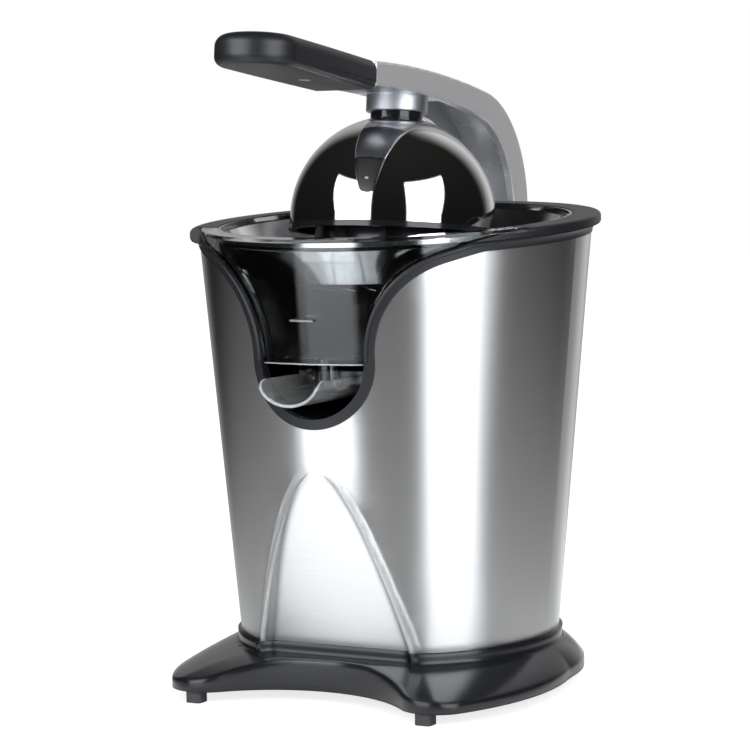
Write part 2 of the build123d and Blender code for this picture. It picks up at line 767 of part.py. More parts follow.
with BuildPart() as gearbox_lid:
    with BuildSketch(level(GEARBOX_TOP)):
        add(gearbox_face(0))
        with Locations(*COLUMNS):
            Circle(EAR_COLUMN_R)
            Circle(SCREW_R + SEAT, mode=Mode.SUBTRACT)
        Circle(SPINDLE_HEX, mode=Mode.SUBTRACT)
    extrude(amount=GEARBOX_LID)
    with BuildSketch(level(WHEEL_2_Z + WHEEL_2_H + SLIP)):
        with Locations(IDLER_AT):
            Circle(IDLER_PIN_R + GEARBOX_WALL)
        Circle(SPINDLE_HEX + GEARBOX_WALL)
        Circle(SPINDLE_HEX, mode=Mode.SUBTRACT)
    extrude(amount=GEARBOX_TOP - WHEEL_2_Z - WHEEL_2_H - SLIP)
    with BuildSketch(level(WHEEL_2_Z)):
        with Locations(IDLER_AT):
            Circle(IDLER_PIN_R + SEAT / 2)
    extrude(amount=GEARBOX_TOP - WHEEL_2_Z + GEARBOX_LID / 2, mode=Mode.SUBTRACT)

with BuildPart() as gearbox_screws:
    with BuildSketch(level(GEARBOX_Z - SCREW_HEAD_H)):
        with Locations(*COLUMNS):
            Circle(SCREW_HEAD_R)
    extrude(amount=SCREW_HEAD_H)
    with BuildSketch(level(GEARBOX_Z)):
        with Locations(*COLUMNS):
            Circle(SCREW_R)
    extrude(amount=PAN_Z - GEARBOX_Z - SLIP)

with BuildPart() as idler_pin:
    with BuildSketch(level(GEARBOX_Z + GEARBOX_FLOOR / 2)):
        with Locations(IDLER_AT):
            Circle(IDLER_PIN_R)
    extrude(amount=GEARBOX_TOP + GEARBOX_LID / 2 - GEARBOX_Z - GEARBOX_FLOOR / 2)

with BuildPart() as idler_gear:
    with BuildSketch(level(WHEEL_1_Z)):
        toothed_face(IDLER_AT, WHEEL_1, MODULE_1, MESH_1 + 180 + 180 / WHEEL_1)
    extrude(amount=WHEEL_1_H)
    with BuildSketch(level(WHEEL_1_Z)):
        toothed_face(IDLER_AT, PINION_2, MODULE_2, MESH_2)
    extrude(amount=WHEEL_2_Z + WHEEL_2_H - WHEEL_1_Z)
    with BuildSketch(level(WHEEL_1_Z)):
        with Locations(IDLER_AT):
            Circle(IDLER_PIN_R + RUNNING)
    extrude(amount=WHEEL_2_Z + WHEEL_2_H - WHEEL_1_Z, mode=Mode.SUBTRACT)

with BuildPart() as output_gear:
    with BuildSketch(level(WHEEL_2_Z)):
        toothed_face((0, 0), WHEEL_2, MODULE_2, MESH_2 + 180 + 180 / WHEEL_2)
        RegularPolygon(SPINDLE_HEX / 2 + SEAT, 6, major_radius=False, mode=Mode.SUBTRACT)
    extrude(amount=WHEEL_2_H)

# Motor

with BuildPart() as motor_stack:
    with BuildSketch(level(STACK_Z)):
        with Locations((-STACK_LEFT, MOTOR_V)):
            Rectangle(
                STACK_LEFT + WINDOW_NEAR + WINDOW_WIDTH + LEG_WIDTH,
                2 * STACK_HALF,
                align=(Align.MIN, Align.CENTER),
            )
        with Locations(MOTOR_AT):
            Circle(STACK_BORE, mode=Mode.SUBTRACT)
        with Locations((WINDOW_NEAR, MOTOR_V)):
            Rectangle(WINDOW_WIDTH, 2 * WINDOW_HALF, align=(Align.MIN, Align.CENTER), mode=Mode.SUBTRACT)
    extrude(amount=STACK_H)

COIL_T = WINDOW_WIDTH - 2 * COIL_GAP

with BuildPart() as motor_coil:
    with BuildSketch(FRONT.offset(-MOTOR_V)):
        with Locations((WINDOW_NEAR + WINDOW_WIDTH + LEG_WIDTH / 2, STACK_Z + STACK_H / 2)):
            RectangleRounded(
                LEG_WIDTH + 2 * (COIL_T + COIL_GAP),
                STACK_H + 2 * (COIL_T + COIL_GAP),
                COIL_T / 2,
            )
            Rectangle(LEG_WIDTH + 2 * COIL_GAP, STACK_H + 2 * COIL_GAP, mode=Mode.SUBTRACT)
    extrude(amount=WINDOW_HALF - COIL_GAP, both=True)

with BuildPart() as motor_rotor:
    with BuildSketch(level(STACK_Z)):
        with Locations(MOTOR_AT):
            Circle(ROTOR_R)
    extrude(amount=STACK_H)
    with BuildSketch(level(ROTOR_LOW)):
        with Locations(MOTOR_AT):
            Circle(ROTOR_SHAFT_R)
    extrude(amount=WHEEL_1_Z - ROTOR_LOW)
    with BuildSketch(level(WHEEL_1_Z - SLIP)):
        toothed_face(MOTOR_AT, PINION_1, MODULE_1, MESH_1)
    extrude(amount=WHEEL_1_H + 2 * SLIP)

with BuildPart() as motor_end_plate:
    with BuildSketch(level(END_PLATE_Z)):
        with Locations(*POSTS):
            Circle(POST_R)
        with Locations(((WINDOW_NEAR - STACK_LEFT) / 2, MOTOR_V)):
            Rectangle(STACK_LEFT + WINDOW_NEAR - 2 * POST_R, 2 * STACK_HALF)
            Rectangle(STACK_LEFT + WINDOW_NEAR, 2 * (STACK_HALF - POST_R))
    extrude(amount=END_PLATE_T)
    with BuildSketch(level(END_PLATE_Z)):
        with Locations(*POSTS):
            Circle(POST_R)
    extrude(amount=STACK_Z - END_PLATE_Z)
    with BuildSketch(level(END_PLATE_Z)):
        with Locations(MOTOR_AT):
            Circle(MOTOR_BUSH_R + GEARBOX_WALL)
    extrude(amount=MOTOR_BUSH_H)
    with BuildSketch(level(END_PLATE_Z)):
        with Locations(MOTOR_AT):
            Circle(MOTOR_BUSH_R + SEAT)
    extrude(amount=MOTOR_BUSH_H, mode=Mode.SUBTRACT)

with BuildPart() as motor_bushes:
    for low in (END_PLATE_Z, GEARBOX_Z - MOTOR_BUSH_H / 2):
        with BuildSketch(level(low)):
            with Locations(MOTOR_AT):
                Circle(MOTOR_BUSH_R)
                Circle(ROTOR_SHAFT_R + RUNNING, mode=Mode.SUBTRACT)
        extrude(amount=MOTOR_BUSH_H - SLIP)

# Drive spindle, with the switch that its downward travel works

with BuildPart() as drive_spindle:
    with BuildSketch(level(SPINDLE_LOW)):
        Circle(SPINDLE_R)
    extrude(amount=NOSE_LOW - SPINDLE_LOW)
    with BuildSketch(level(WHEEL_2_Z - SLIP)):
        RegularPolygon(SPINDLE_HEX / 2, 6, major_radius=False)
    extrude(amount=WHEEL_2_H + 2 * PRESS_TRAVEL)
    with BuildSketch(level(NOSE_LOW)):
        RegularPolygon(NOSE_HEX / 2, 6, major_radius=False)
    extrude(amount=NOSE_TOP - NOSE_LOW)

with BuildPart() as thrust_plunger:
    with BuildSketch(level(PLUNGER_LOW)):
        Circle(PLUNGER_R)
    extrude(amount=SPINDLE_LOW - PLUNGER_LOW)
    with BuildSketch(level(PLUNGER_LOW)):
        Rectangle(FINGER_REACH, FINGER_WIDTH, align=(Align.MAX, Align.CENTER))
    extrude(amount=FINGER_T)

with BuildPart() as switch_strap:
    with BuildSketch(level(STRAP_Z)):
        Rectangle(STRAP_WIDTH, 2 * STRAP_HALF)
        with Locations((-SWITCH_V, 0)):
            Rectangle(SWITCH_SIZE[0], SWITCH_SIZE[1])
        Rectangle(SWITCH_V, SWITCH_SIZE[1], align=(Align.MAX, Align.CENTER))
    extrude(amount=STRAP_T)
    with BuildSketch(level(STRAP_Z)):
        for side in (-1, 1):
            with Locations((0, side * (STRAP_HALF - STRAP_T / 2))):
                Rectangle(STRAP_WIDTH, STRAP_T)
    extrude(amount=GEARBOX_Z - STRAP_Z)

with BuildPart() as spindle_spring:
    with BuildSketch(level(STRAP_TOP)):
        Circle(SPRING_R)
        Circle(SPRING_R - SPRING_WALL, mode=Mode.SUBTRACT)
    extrude(amount=PLUNGER_LOW - STRAP_TOP)

BUTTON_TOP = PLUNGER_LOW - SEAT

with BuildPart() as microswitch:
    with BuildSketch(level(STRAP_TOP)):
        with Locations((-SWITCH_V, 0)):
            Rectangle(SWITCH_SIZE[0], SWITCH_SIZE[1])
    extrude(amount=SWITCH_H)
    fillet(microswitch.edges().filter_by(Axis.Z), SWITCH_SIZE[1] / 8)
    with BuildSketch(level(BUTTON_TOP - BUTTON_LENGTH - PRESS_TRAVEL - SLIP)):
        with Locations((-SWITCH_V, 0)):
            Circle(BUTTON_R + RUNNING)
    extrude(amount=SWITCH_H, mode=Mode.SUBTRACT)

with BuildPart() as switch_button:
    with BuildSketch(level(BUTTON_TOP - BUTTON_LENGTH)):
        with Locations((-SWITCH_V, 0)):
            Circle(BUTTON_R)
    extrude(amount=BUTTON_LENGTH)

with BuildPart() as spindle_bush:
    with BuildSketch(level(TOWER_TOP - BUSH_H)):
        Circle(BUSH_R)
        Circle(SPINDLE_R + RUNNING, mode=Mode.SUBTRACT)
    extrude(amount=BUSH_H)

with BuildPart() as shaft_seal:
    with BuildSketch(level(TOWER_TOP)):
        Circle(TOWER_R)
        Circle(SPINDLE_R + RUNNING, mode=Mode.SUBTRACT)
    extrude(amount=SHAFT_SEAL_H)
    fillet(shaft_seal.edges().group_by(Axis.Z)[-1].sort_by(SortBy.RADIUS)[-1], SHAFT_SEAL_H / 2)

# Inner housing

with BuildPart() as inner_housing:
    with BuildSketch(FRONT):
        with BuildLine():
            Polyline(
                (0, PAN_Z),
                (pan_radius(PAN_Z), PAN_Z),
                (pan_radius(SHELL_TOP), SHELL_TOP),
                (pan_radius(SHELL_TOP) - PAN_WALL, SHELL_TOP),
                (pan_radius(PAN_TOP) - PAN_WALL, PAN_TOP),
                (TOWER_R, PAN_TOP),
                (TOWER_R, TOWER_TOP),
                (0, TOWER_TOP),
                close=True,
            )
        make_face()
    revolve(axis=DRIVE)
    split(bisect_by=RIM.offset(-RIM_SKIRT - SEAT), keep=Keep.BOTTOM)
    add(front_window(0), mode=Mode.SUBTRACT)
    with BuildSketch(level(PAN_TOP)):
        for angle in RIB_ANGLES:
            with PolarLocations((RIB_INNER + RIB_OUTER) / 2, 1, start_angle=angle):
                Rectangle(RIB_OUTER - RIB_INNER, RIB_T)
    extrude(amount=COLLECTOR_Z - PAN_TOP)
    with BuildSketch(level(GEARBOX_LID_TOP)):
        with Locations(*COLUMNS):
            Circle(EAR_COLUMN_R)
    extrude(amount=PAN_Z - GEARBOX_LID_TOP)
    with BuildSketch(level(GEARBOX_LID_TOP)):
        with Locations(*COLUMNS):
            Circle(SCREW_R + SEAT)
    extrude(amount=PAN_Z - GEARBOX_LID_TOP, mode=Mode.SUBTRACT)
    with BuildSketch(level(PAN_Z)):
        Circle(SPINDLE_HEX)
    extrude(amount=TOWER_TOP - BUSH_H - PAN_Z, mode=Mode.SUBTRACT)
    with BuildSketch(level(TOWER_TOP - BUSH_H)):
        Circle(BUSH_R + SEAT)
    extrude(amount=BUSH_H, mode=Mode.SUBTRACT)

# Juice collector, with its outlet and the ears that carry the spout

EAR_INNER = SPOUT_HALF + SLIP
CHIMNEY_R = CHIMNEY_BORE + CHIMNEY_WALL

def apron_form(inset):
    """Space between the collector's wall and the front of the spout opening, drawn in by the inset"""
    with BuildPart() as form:
        with BuildSketch(FRONT):
            with BuildLine():
                Polyline(
                    (COLLECTOR_FOOT_R, COLLECTOR_Z),
                    (sleeve_radius(COLLECTOR_Z) - APRON_SHY - inset, COLLECTOR_Z),
                    (sleeve_radius(SHELL_TOP) - APRON_SHY - inset, SHELL_TOP),
                    (COLLECTOR_R, SHELL_TOP),
                    (COLLECTOR_R, COLLECTOR_KNEE),
                    close=True,
                )
            make_face()
        revolve(axis=DRIVE)
        split(bisect_by=RIM.offset(-COLLECTOR_SHY - inset), keep=Keep.BOTTOM)
        add(front_window(SLIP + inset), mode=Mode.INTERSECT)
    return form.part


apron_outer = apron_form(0)
apron_inner = apron_form(APRON_WALL)

with BuildPart() as juice_collector:
    with BuildSketch(FRONT):
        with BuildLine():
            Polyline(
                (CHIMNEY_BORE, COLLECTOR_Z),
                (COLLECTOR_FOOT_R, COLLECTOR_Z),
                (COLLECTOR_R, COLLECTOR_KNEE),
                (COLLECTOR_R, SHELL_TOP),
                (COLLECTOR_R - COLLECTOR_WALL, SHELL_TOP),
                (COLLECTOR_R - COLLECTOR_WALL, COLLECTOR_KNEE),
                (COLLECTOR_FOOT_R - COLLECTOR_WALL, COLLECTOR_Z + COLLECTOR_FLOOR),
                (CHIMNEY_R, COLLECTOR_Z + COLLECTOR_FLOOR + COLLECTOR_FALL),
                (CHIMNEY_R, CHIMNEY_TOP),
                (CHIMNEY_BORE, CHIMNEY_TOP),
                close=True,
            )
        make_face()
    revolve(axis=DRIVE)
    split(bisect_by=RIM.offset(-COLLECTOR_SHY), keep=Keep.BOTTOM)
    add(apron_outer)
    add(apron_inner, mode=Mode.SUBTRACT)
    with BuildSketch(upright(RIM)):
        with BuildLine():
            Polyline(
                (COLLECTOR_R - COLLECTOR_WALL / 2, -LEDGE_DROP),
                (COLLECTOR_R - COLLECTOR_WALL - LEDGE_IN, -LEDGE_DROP),
                (COLLECTOR_R - COLLECTOR_WALL / 2, -LEDGE_DROP - LEDGE_H),
                close=True,
            )
        make_face()
    revolve(axis=RIM_AXIS)
    with BuildSketch(level(OUTLET_END)):
        with Locations((0, -OUTLET_V)):
            Circle(OUTLET_BORE + OUTLET_WALL)
    extrude(amount=COLLECTOR_Z - OUTLET_END)
    with BuildSketch(level(OUTLET_END)):
        with Locations((0, -OUTLET_V)):
            Circle(OUTLET_BORE)
    extrude(amount=COLLECTOR_Z + COLLECTOR_FLOOR + COLLECTOR_FALL - OUTLET_END, mode=Mode.SUBTRACT)
    for side in (SIDE.offset(EAR_INNER), SIDE.offset(-EAR_INNER - EAR_T)):
        with BuildSketch(side):
            with Locations((-SPOUT_PIVOT[0], SPOUT_PIVOT[1])):
                Circle(EAR_R)
                Rectangle(2 * EAR_R, COLLECTOR_Z - SPOUT_PIVOT[1], align=(Align.CENTER, Align.MIN))
                Circle(SPOUT_PIN_R + RUNNING, mode=Mode.SUBTRACT)
        extrude(amount=EAR_T)

with BuildPart() as spout:
    with BuildSketch(FRONT.offset(SPOUT_BACK)):
        with Locations((0, SPOUT_Z)):
            Ellipse(SPOUT_HALF, SPOUT_DEPTH)
            Rectangle(3 * SPOUT_HALF, SPOUT_DEPTH, align=(Align.CENTER, Align.MIN), mode=Mode.SUBTRACT)
    extrude(amount=SPOUT_LIP - SPOUT_BACK)
    with BuildSketch(SIDE):
        with Locations((-SPOUT_LIP, SPOUT_Z)):
            Rectangle(2 * SPOUT_ROUND, 2 * SPOUT_ROUND)
        with Locations((SPOUT_ROUND - SPOUT_LIP, SPOUT_Z - SPOUT_ROUND)):
            Circle(SPOUT_ROUND, mode=Mode.SUBTRACT)
    extrude(amount=2 * SPOUT_HALF, both=True, mode=Mode.SUBTRACT)
    with BuildSketch(SIDE):
        with Locations((-SPOUT_PIVOT[0], SPOUT_PIVOT[1])):
            Circle(SPOUT_PIN_R)
    extrude(amount=EAR_INNER + EAR_T, both=True)
    with BuildSketch(FRONT.offset(SPOUT_BACK + SPOUT_WALL)):
        with Locations((0, SPOUT_Z)):
            Ellipse(SPOUT_HALF - SPOUT_WALL, SPOUT_DEPTH - SPOUT_WALL)
            Rectangle(2 * (SPOUT_HALF - SPOUT_WALL), SPOUT_DEPTH, align=(Align.CENTER, Align.MIN))
    extrude(amount=SPOUT_LIP - SPOUT_BACK, mode=Mode.SUBTRACT)

with BuildPart() as spout_seal:
    with BuildSketch(level(SPOUT_Z - SPOUT_DEPTH)):
        with Locations((0, -OUTLET_V)):
            Circle(SEAL_R)
    extrude(amount=SEAL_TOP - SPOUT_Z + SPOUT_DEPTH)
    with BuildSketch(FRONT.offset(SPOUT_BACK)):
        with Locations((0, SPOUT_Z)):
            Ellipse(SPOUT_HALF - SPOUT_WALL - SEAT, SPOUT_DEPTH - SPOUT_WALL - SEAT)
    extrude(amount=SPOUT_LIP - SPOUT_BACK, mode=Mode.INTERSECT)

# Sieve, turned about the rim's axis so that its edge lies level with the rim

SIEVE_BEAD_S = SEAT - LEDGE_DROP

with BuildPart() as sieve:
    with BuildSketch(upright(RIM)):
        with BuildLine():
            Polyline(
                (SIEVE_R, SIEVE_BEAD_S + SIEVE_BEAD),
                (SIEVE_R, SIEVE_BEAD_S),
                (SIEVE_R - LEDGE_IN + SLIP, SIEVE_BEAD_S),
                (SIEVE_FOOT_R, -SIEVE_DEPTH),
                (SIEVE_HUB_R, -SIEVE_DEPTH - SIEVE_FALL),
                (SIEVE_HUB_R, -SIEVE_DEPTH - SIEVE_FALL + SIEVE_T),
                (SIEVE_FOOT_R - SIEVE_T, -SIEVE_DEPTH + SIEVE_T),
                (SIEVE_R - LEDGE_IN - SIEVE_T, SIEVE_BEAD_S + SIEVE_BEAD),
                close=True,
            )
        make_face()
    revolve(axis=RIM_AXIS)
    with BuildSketch(RIM.offset(-SIEVE_DEPTH - SIEVE_FALL)):
        with PolarLocations(SLOT_R, SLOT_COUNT):
            SlotOverall(SLOT_LENGTH, SLOT_WIDTH)
    extrude(amount=SIEVE_FALL + 2 * SIEVE_T, mode=Mode.SUBTRACT)

# Reamer: a hollow pointed cone with fins, on the spindle's hexagonal nose


def ogive(radius, top):
    """Half outline of a pointed cone with a straight foot and a small blunt tip"""
    shoulder = REAMER_Z + REAMER_SKIRT
    with BuildSketch() as face:
        with BuildLine():
            Polyline((REAMER_TIP, top), (0, top), (0, REAMER_Z), (radius, REAMER_Z), (radius, shoulder))
            TangentArc((radius, shoulder), (REAMER_TIP, top), tangent=(0, 1))
        make_face()
    return face.sketch


CORE_TOP = REAMER_TOP - REAMER_WALL

with BuildPart() as reamer_cone:
    with BuildSketch(level(REAMER_Z)):
        Circle(HUB_R)
        with PolarLocations(0, FIN_COUNT):
            Rectangle(REAMER_R, FIN_T, align=(Align.MIN, Align.CENTER))
    extrude(amount=REAMER_TOP - REAMER_Z)
    with BuildSketch(FRONT):
        add(ogive(REAMER_R, REAMER_TOP))
    revolve(axis=DRIVE, mode=Mode.INTERSECT)
    with BuildSketch(FRONT):
        add(ogive(REAMER_CORE_R, CORE_TOP))
    revolve(axis=DRIVE)
    with BuildSketch(level(REAMER_Z)):
        Circle(REAMER_R)
    extrude(amount=REAMER_FLANGE)
    with BuildSketch(FRONT):
        add(ogive(REAMER_CORE_R - REAMER_WALL, CORE_TOP - 2 * REAMER_WALL))
    revolve(axis=DRIVE, mode=Mode.SUBTRACT)
    with BuildSketch(level(REAMER_Z - HUB_DROP)):
        Circle(HUB_R)
    extrude(amount=CORE_TOP - 2 * REAMER_WALL - REAMER_Z + HUB_DROP)
    with BuildSketch(level(REAMER_Z - HUB_DROP)):
        RegularPolygon(NOSE_HEX / 2 + SEAT, 6, major_radius=False)
    extrude(amount=SOCKET_TOP - REAMER_Z + HUB_DROP, mode=Mode.SUBTRACT)

# Hinge bracket on the back of the sleeve, with the pin that carries the arm

ARM_UNDER_V = 2 * PIN_V - ARM_BACK
LUG_HALF = ARM_HALF - ARM_WALL - SLIP
sleeve_clear = sleeve_form(-SEAT, BRACKET_LOW - BAND_H, SHELL_TOP)

with BuildPart() as hinge_bracket:
    with BuildSketch(SIDE):
        with BuildLine():
            Polyline(
                (BRACKET_SEAT_V - PAN_WALL, BRACKET_LOW),
                (BRACKET_FOOT_V - ARM_WALL, BRACKET_LOW),
                (PIN_V, PIN_Z - LUG_R),
                (PIN_V, PIN_Z + LUG_R),
                (RIM_R, PIN_Z + ARM_WALL),
                (BRACKET_SEAT_V - PAN_WALL, PIN_Z + ARM_WALL),
                close=True,
            )
        make_face()
        with Locations((PIN_V, PIN_Z)):
            Circle(LUG_R)
    extrude(amount=LUG_HALF, both=True)
    with BuildSketch(SIDE):
        with BuildLine():
            Polyline(
                (BRACKET_SEAT_V - PAN_WALL, BRACKET_LOW),
                (BRACKET_FOOT_V - ARM_WALL, BRACKET_LOW),
                (BRACKET_FOOT_V, PIN_Z - LUG_R),
                (BRACKET_FOOT_V, PIN_Z + ARM_WALL),
                (BRACKET_SEAT_V - PAN_WALL, PIN_Z + ARM_WALL),
                close=True,
            )
        make_face()
    extrude(amount=ARM_HALF, both=True)
    fillet(hinge_bracket.edges().filter_by(Axis.Z).group_by(Axis.Y)[-1], ARM_EDGE)
    add(sleeve_clear, mode=Mode.SUBTRACT)
    with BuildSketch(SIDE):
        with Locations((PIN_V, PIN_Z)):
            Circle(PIN_R + PRESS)
    extrude(amount=ARM_HALF, both=True, mode=Mode.SUBTRACT)
    with BuildSketch(FRONT.offset(-BRACKET_FOOT_V + ARM_WALL)):
        with Locations(*BRACKET_SCREWS):
            Circle(SCREW_R + SEAT)
    extrude(amount=BRACKET_FOOT_V - BRACKET_SEAT_V + PAN_WALL, mode=Mode.SUBTRACT)
    split(bisect_by=RIM.offset(-RIM_DROP - SLIP), keep=Keep.BOTTOM)

BRACKET_SCREW_R = BRACKET_SEAT_V - SLEEVE_WALL - SLEEVE_FLARE * SCREW_HEAD_R
BRACKET_SCREW_V = sqrt(BRACKET_SCREW_R**2 - (BRACKET_SCREW_X + SCREW_HEAD_R) ** 2) - SEAT

with BuildPart() as bracket_screws:
    with BuildSketch(FRONT.offset(-BRACKET_SCREW_V)):
        with Locations(*BRACKET_SCREWS):
            Circle(SCREW_HEAD_R)
    extrude(amount=SCREW_HEAD_H)
    with BuildSketch(FRONT.offset(-BRACKET_SCREW_V)):
        with Locations(*BRACKET_SCREWS):
            Circle(SCREW_R)
    extrude(amount=BRACKET_SCREW_V - BRACKET_FOOT_V + ARM_WALL + SEAT)

with BuildPart() as hinge_pin:
    with BuildSketch(SIDE):
        with Locations((PIN_V, PIN_Z)):
            Circle(PIN_R)
    extrude(amount=ARM_HALF + PIN_HEAD_H, both=True)

with BuildPart() as pin_caps:
    for start in (ARM_HALF + SEAT, -ARM_HALF - SEAT - PIN_HEAD_H):
        with BuildSketch(SIDE.offset(start)):
            with Locations((PIN_V, PIN_Z)):
                Circle(PIN_HEAD_R)
                Circle(PIN_R + PRESS, mode=Mode.SUBTRACT)
        extrude(amount=PIN_HEAD_H)

# Lever arm: a cast channel that bends down to the hinge pin behind the body

COLLAR_TOP = DOME_SKIRT + DOME_R + NECK_H + COLLAR_H
ARM_BEND_IN = degrees(atan2(ARM_TOP_Z - ARM_BEND[1], ARM_BEND[0] + ARM_FRONT)) * 2


def arm_top_line(drop):
    """Upper outline of the arm from its front to its heel, lowered square to itself"""
    lean = radians(ARM_BEND_IN)
    bend = (ARM_BEND[0] - drop * sin(lean), ARM_BEND[1] - drop * cos(lean))
    crown = TangentArc((-ARM_FRONT, ARM_TOP_Z - drop), bend, tangent=(1, 0))
    return TangentArc(bend, (ARM_BACK - drop, ARM_HEEL_Z), tangent=crown % 1)


def arm_face():
    """Side outline of the arm"""
    with BuildSketch() as face:
        with BuildLine():
            arm_top_line(0)
            Line((ARM_BACK, ARM_HEEL_Z), (ARM_BACK, PIN_Z))
            CenterArc((PIN_V, PIN_Z), ARM_BACK - PIN_V, 0, -180)
            Line((ARM_UNDER_V, PIN_Z), (ARM_UNDER_V, ARM_HEEL_Z))
            bend_under = TangentArc((ARM_UNDER_V, ARM_HEEL_Z), ARM_BEND_UNDER, tangent=(0, 1))
            TangentArc(ARM_BEND_UNDER, (-ARM_FRONT, ARM_UNDER_Z), tangent=bend_under % 1)
            Line((-ARM_FRONT, ARM_UNDER_Z), (-ARM_FRONT, ARM_TOP_Z))
        make_face()
    return face.sketch


def cover_form(clear):
    """Skin of the arm's underside between the grip and the collar, grown by the clearance"""
    with BuildPart() as form:
        with BuildSketch(SIDE):
            add(arm_face())
        extrude(amount=ARM_HALF - ARM_COVER_EDGE + clear, both=True)
        with BuildSketch(SIDE):
            add(Pos(0, ARM_COVER_T + clear) * arm_face())
        extrude(amount=ARM_HALF, both=True, mode=Mode.SUBTRACT)
        with BuildSketch(SIDE):
            with Locations((clear - ARM_COVER_END, ARM_TOP_Z)):
                Rectangle(2 * ARM_FRONT, ARM_TOP_Z, align=(Align.MAX, Align.CENTER))
        extrude(amount=ARM_HALF, both=True, mode=Mode.INTERSECT)
        split(bisect_by=GRIP_REAR, keep=Keep.BOTTOM)
    return form.part


arm_skin = cover_form(0)
arm_pocket = cover_form(SEAT)

with BuildPart() as lever_arm:
    with BuildSketch(SIDE):
        add(arm_face())
    extrude(amount=ARM_HALF, both=True)
    split(bisect_by=GRIP_REAR, keep=Keep.BOTTOM)
    fillet(lever_arm.faces().filter_by(Axis.X).edges(), ARM_EDGE)
    with BuildSketch(SIDE):
        with BuildLine():
            arm_top_line(ARM_WALL)
            Polyline(
                (ARM_BACK - ARM_WALL, ARM_HEEL_Z),
                (ARM_BACK - ARM_WALL, PIN_Z - ARM_BACK + PIN_V - ARM_WALL),
                (-ARM_FRONT, PIN_Z - ARM_BACK + PIN_V - ARM_WALL),
                (-ARM_FRONT, ARM_TOP_Z - ARM_WALL),
            )
        make_face()
        with Locations((CHANNEL_FRONT, ARM_TOP_Z)):
            Rectangle(
                2 * GRIP_REACH,
                2 * ARM_TOP_Z,
                align=(Align.MAX, Align.CENTER),
                mode=Mode.SUBTRACT,
            )
    extrude(amount=ARM_HALF - ARM_WALL, both=True, mode=Mode.SUBTRACT)
    with BuildSketch(SIDE):
        with Locations((PIN_V, PIN_Z + HEEL_CUT)):
            Rectangle(2 * ARM_BACK - 2 * PIN_V, 4 * HEEL_CUT, align=(Align.MIN, Align.MAX))
    extrude(amount=ARM_HALF - ARM_WALL, both=True, mode=Mode.SUBTRACT)
    with BuildSketch(SIDE):
        with Locations((PIN_V, PIN_Z)):
            Circle(PIN_R + RUNNING)
    extrude(amount=2 * ARM_HALF, both=True, mode=Mode.SUBTRACT)
    with BuildSketch(GRIP.offset(-TONGUE_T / 2)):
        Rectangle(2 * TONGUE_HALF, 2 * TONGUE_LENGTH)
        with Locations((0, -TONGUE_HALF)):
            Rectangle(2 * ARM_HALF, 2 * TONGUE_LENGTH, align=(Align.CENTER, Align.MAX), mode=Mode.SUBTRACT)
        with Locations((0, GRIP_SCREW)):
            Circle(SCREW_R + SEAT, mode=Mode.SUBTRACT)
    extrude(amount=TONGUE_T)
    with BuildSketch(DOME.offset(DOME_R / 2)):
        Circle(COLLAR_R + SEAT)
    extrude(amount=COLLAR_TOP + SEAT - DOME_R / 2, mode=Mode.SUBTRACT)
    with BuildSketch(DOME.offset(DOME_R)):
        Circle(DOME_SCREW_R + SEAT)
    extrude(amount=COLLAR_TOP + DOME_SCREW_GRIP + SLIP - DOME_R, mode=Mode.SUBTRACT)
    add(arm_pocket, mode=Mode.SUBTRACT)

with BuildPart() as arm_cover:
    add(arm_skin)

# Grip: a moulded handle over the arm's tongue, closed by a plate from below

GRIP_TIP = (GRIP_REACH + GRIP_V) / cos(radians(GRIP_RISE))


def grip_face(inset):
    """Plan of the grip: flaring sides and a round tip"""
    half = GRIP_HALF - inset
    root = GRIP_ROOT_HALF - inset
    centre = GRIP_TIP - GRIP_HALF
    with BuildSketch() as face:
        with BuildLine():
            CenterArc((0, centre), half, 0, 180)
            TangentArc((-half, centre), (-root, inset), tangent=(0, -1))
            Line((-root, inset), (root, inset))
            TangentArc((half, centre), (root, inset), tangent=(0, -1))
        make_face()
    return face.sketch


GRIP_UP = Axis(GRIP.origin, GRIP.z_dir)
GRIP_LOW = GRIP.offset(-GRIP_T / 2)

with BuildPart() as grip_shell:
    with BuildSketch(GRIP_LOW):
        add(grip_face(SEAT))
    extrude(amount=GRIP_T)
    fillet(grip_shell.faces().sort_by(GRIP_UP)[-1].edges().filter_by(GeomType.CIRCLE), GRIP_TOP_ROUND)
    fillet(grip_shell.faces().sort_by(GRIP_UP)[0].edges().filter_by(GeomType.CIRCLE), GRIP_UNDER_ROUND)
    with BuildSketch(GRIP_LOW):
        add(grip_face(PLATE_INSET))
    extrude(amount=PLATE_T, mode=Mode.SUBTRACT)
    with BuildSketch(GRIP_LOW.offset(PLATE_T)):
        with Locations((0, -TONGUE_HALF)):
            Rectangle(
                2 * (TONGUE_HALF + SEAT),
                TONGUE_HALF + TONGUE_LENGTH + SEAT,
                align=(Align.CENTER, Align.MIN),
            )
    extrude(amount=(GRIP_T + TONGUE_T) / 2 - PLATE_T + SEAT, mode=Mode.SUBTRACT)
    with BuildSketch(GRIP):
        with Locations((0, GRIP_SCREW)):
            Circle(SCREW_R + SEAT)
    extrude(amount=GRIP_T / 2 - GRIP_UNDER_ROUND / 2, mode=Mode.SUBTRACT)

with BuildPart() as grip_plate:
    with BuildSketch(GRIP_LOW):
        add(grip_face(PLATE_INSET + SEAT))
        with Locations((0, GRIP_SCREW)):
            Circle(SCREW_R + SEAT, mode=Mode.SUBTRACT)
    extrude(amount=PLATE_T)
    with BuildSketch(GRIP_LOW):
        with Locations((0, GRIP_SCREW)):
            Circle(SCREW_HEAD_R + SEAT)
    extrude(amount=SCREW_HEAD_H, mode=Mode.SUBTRACT)

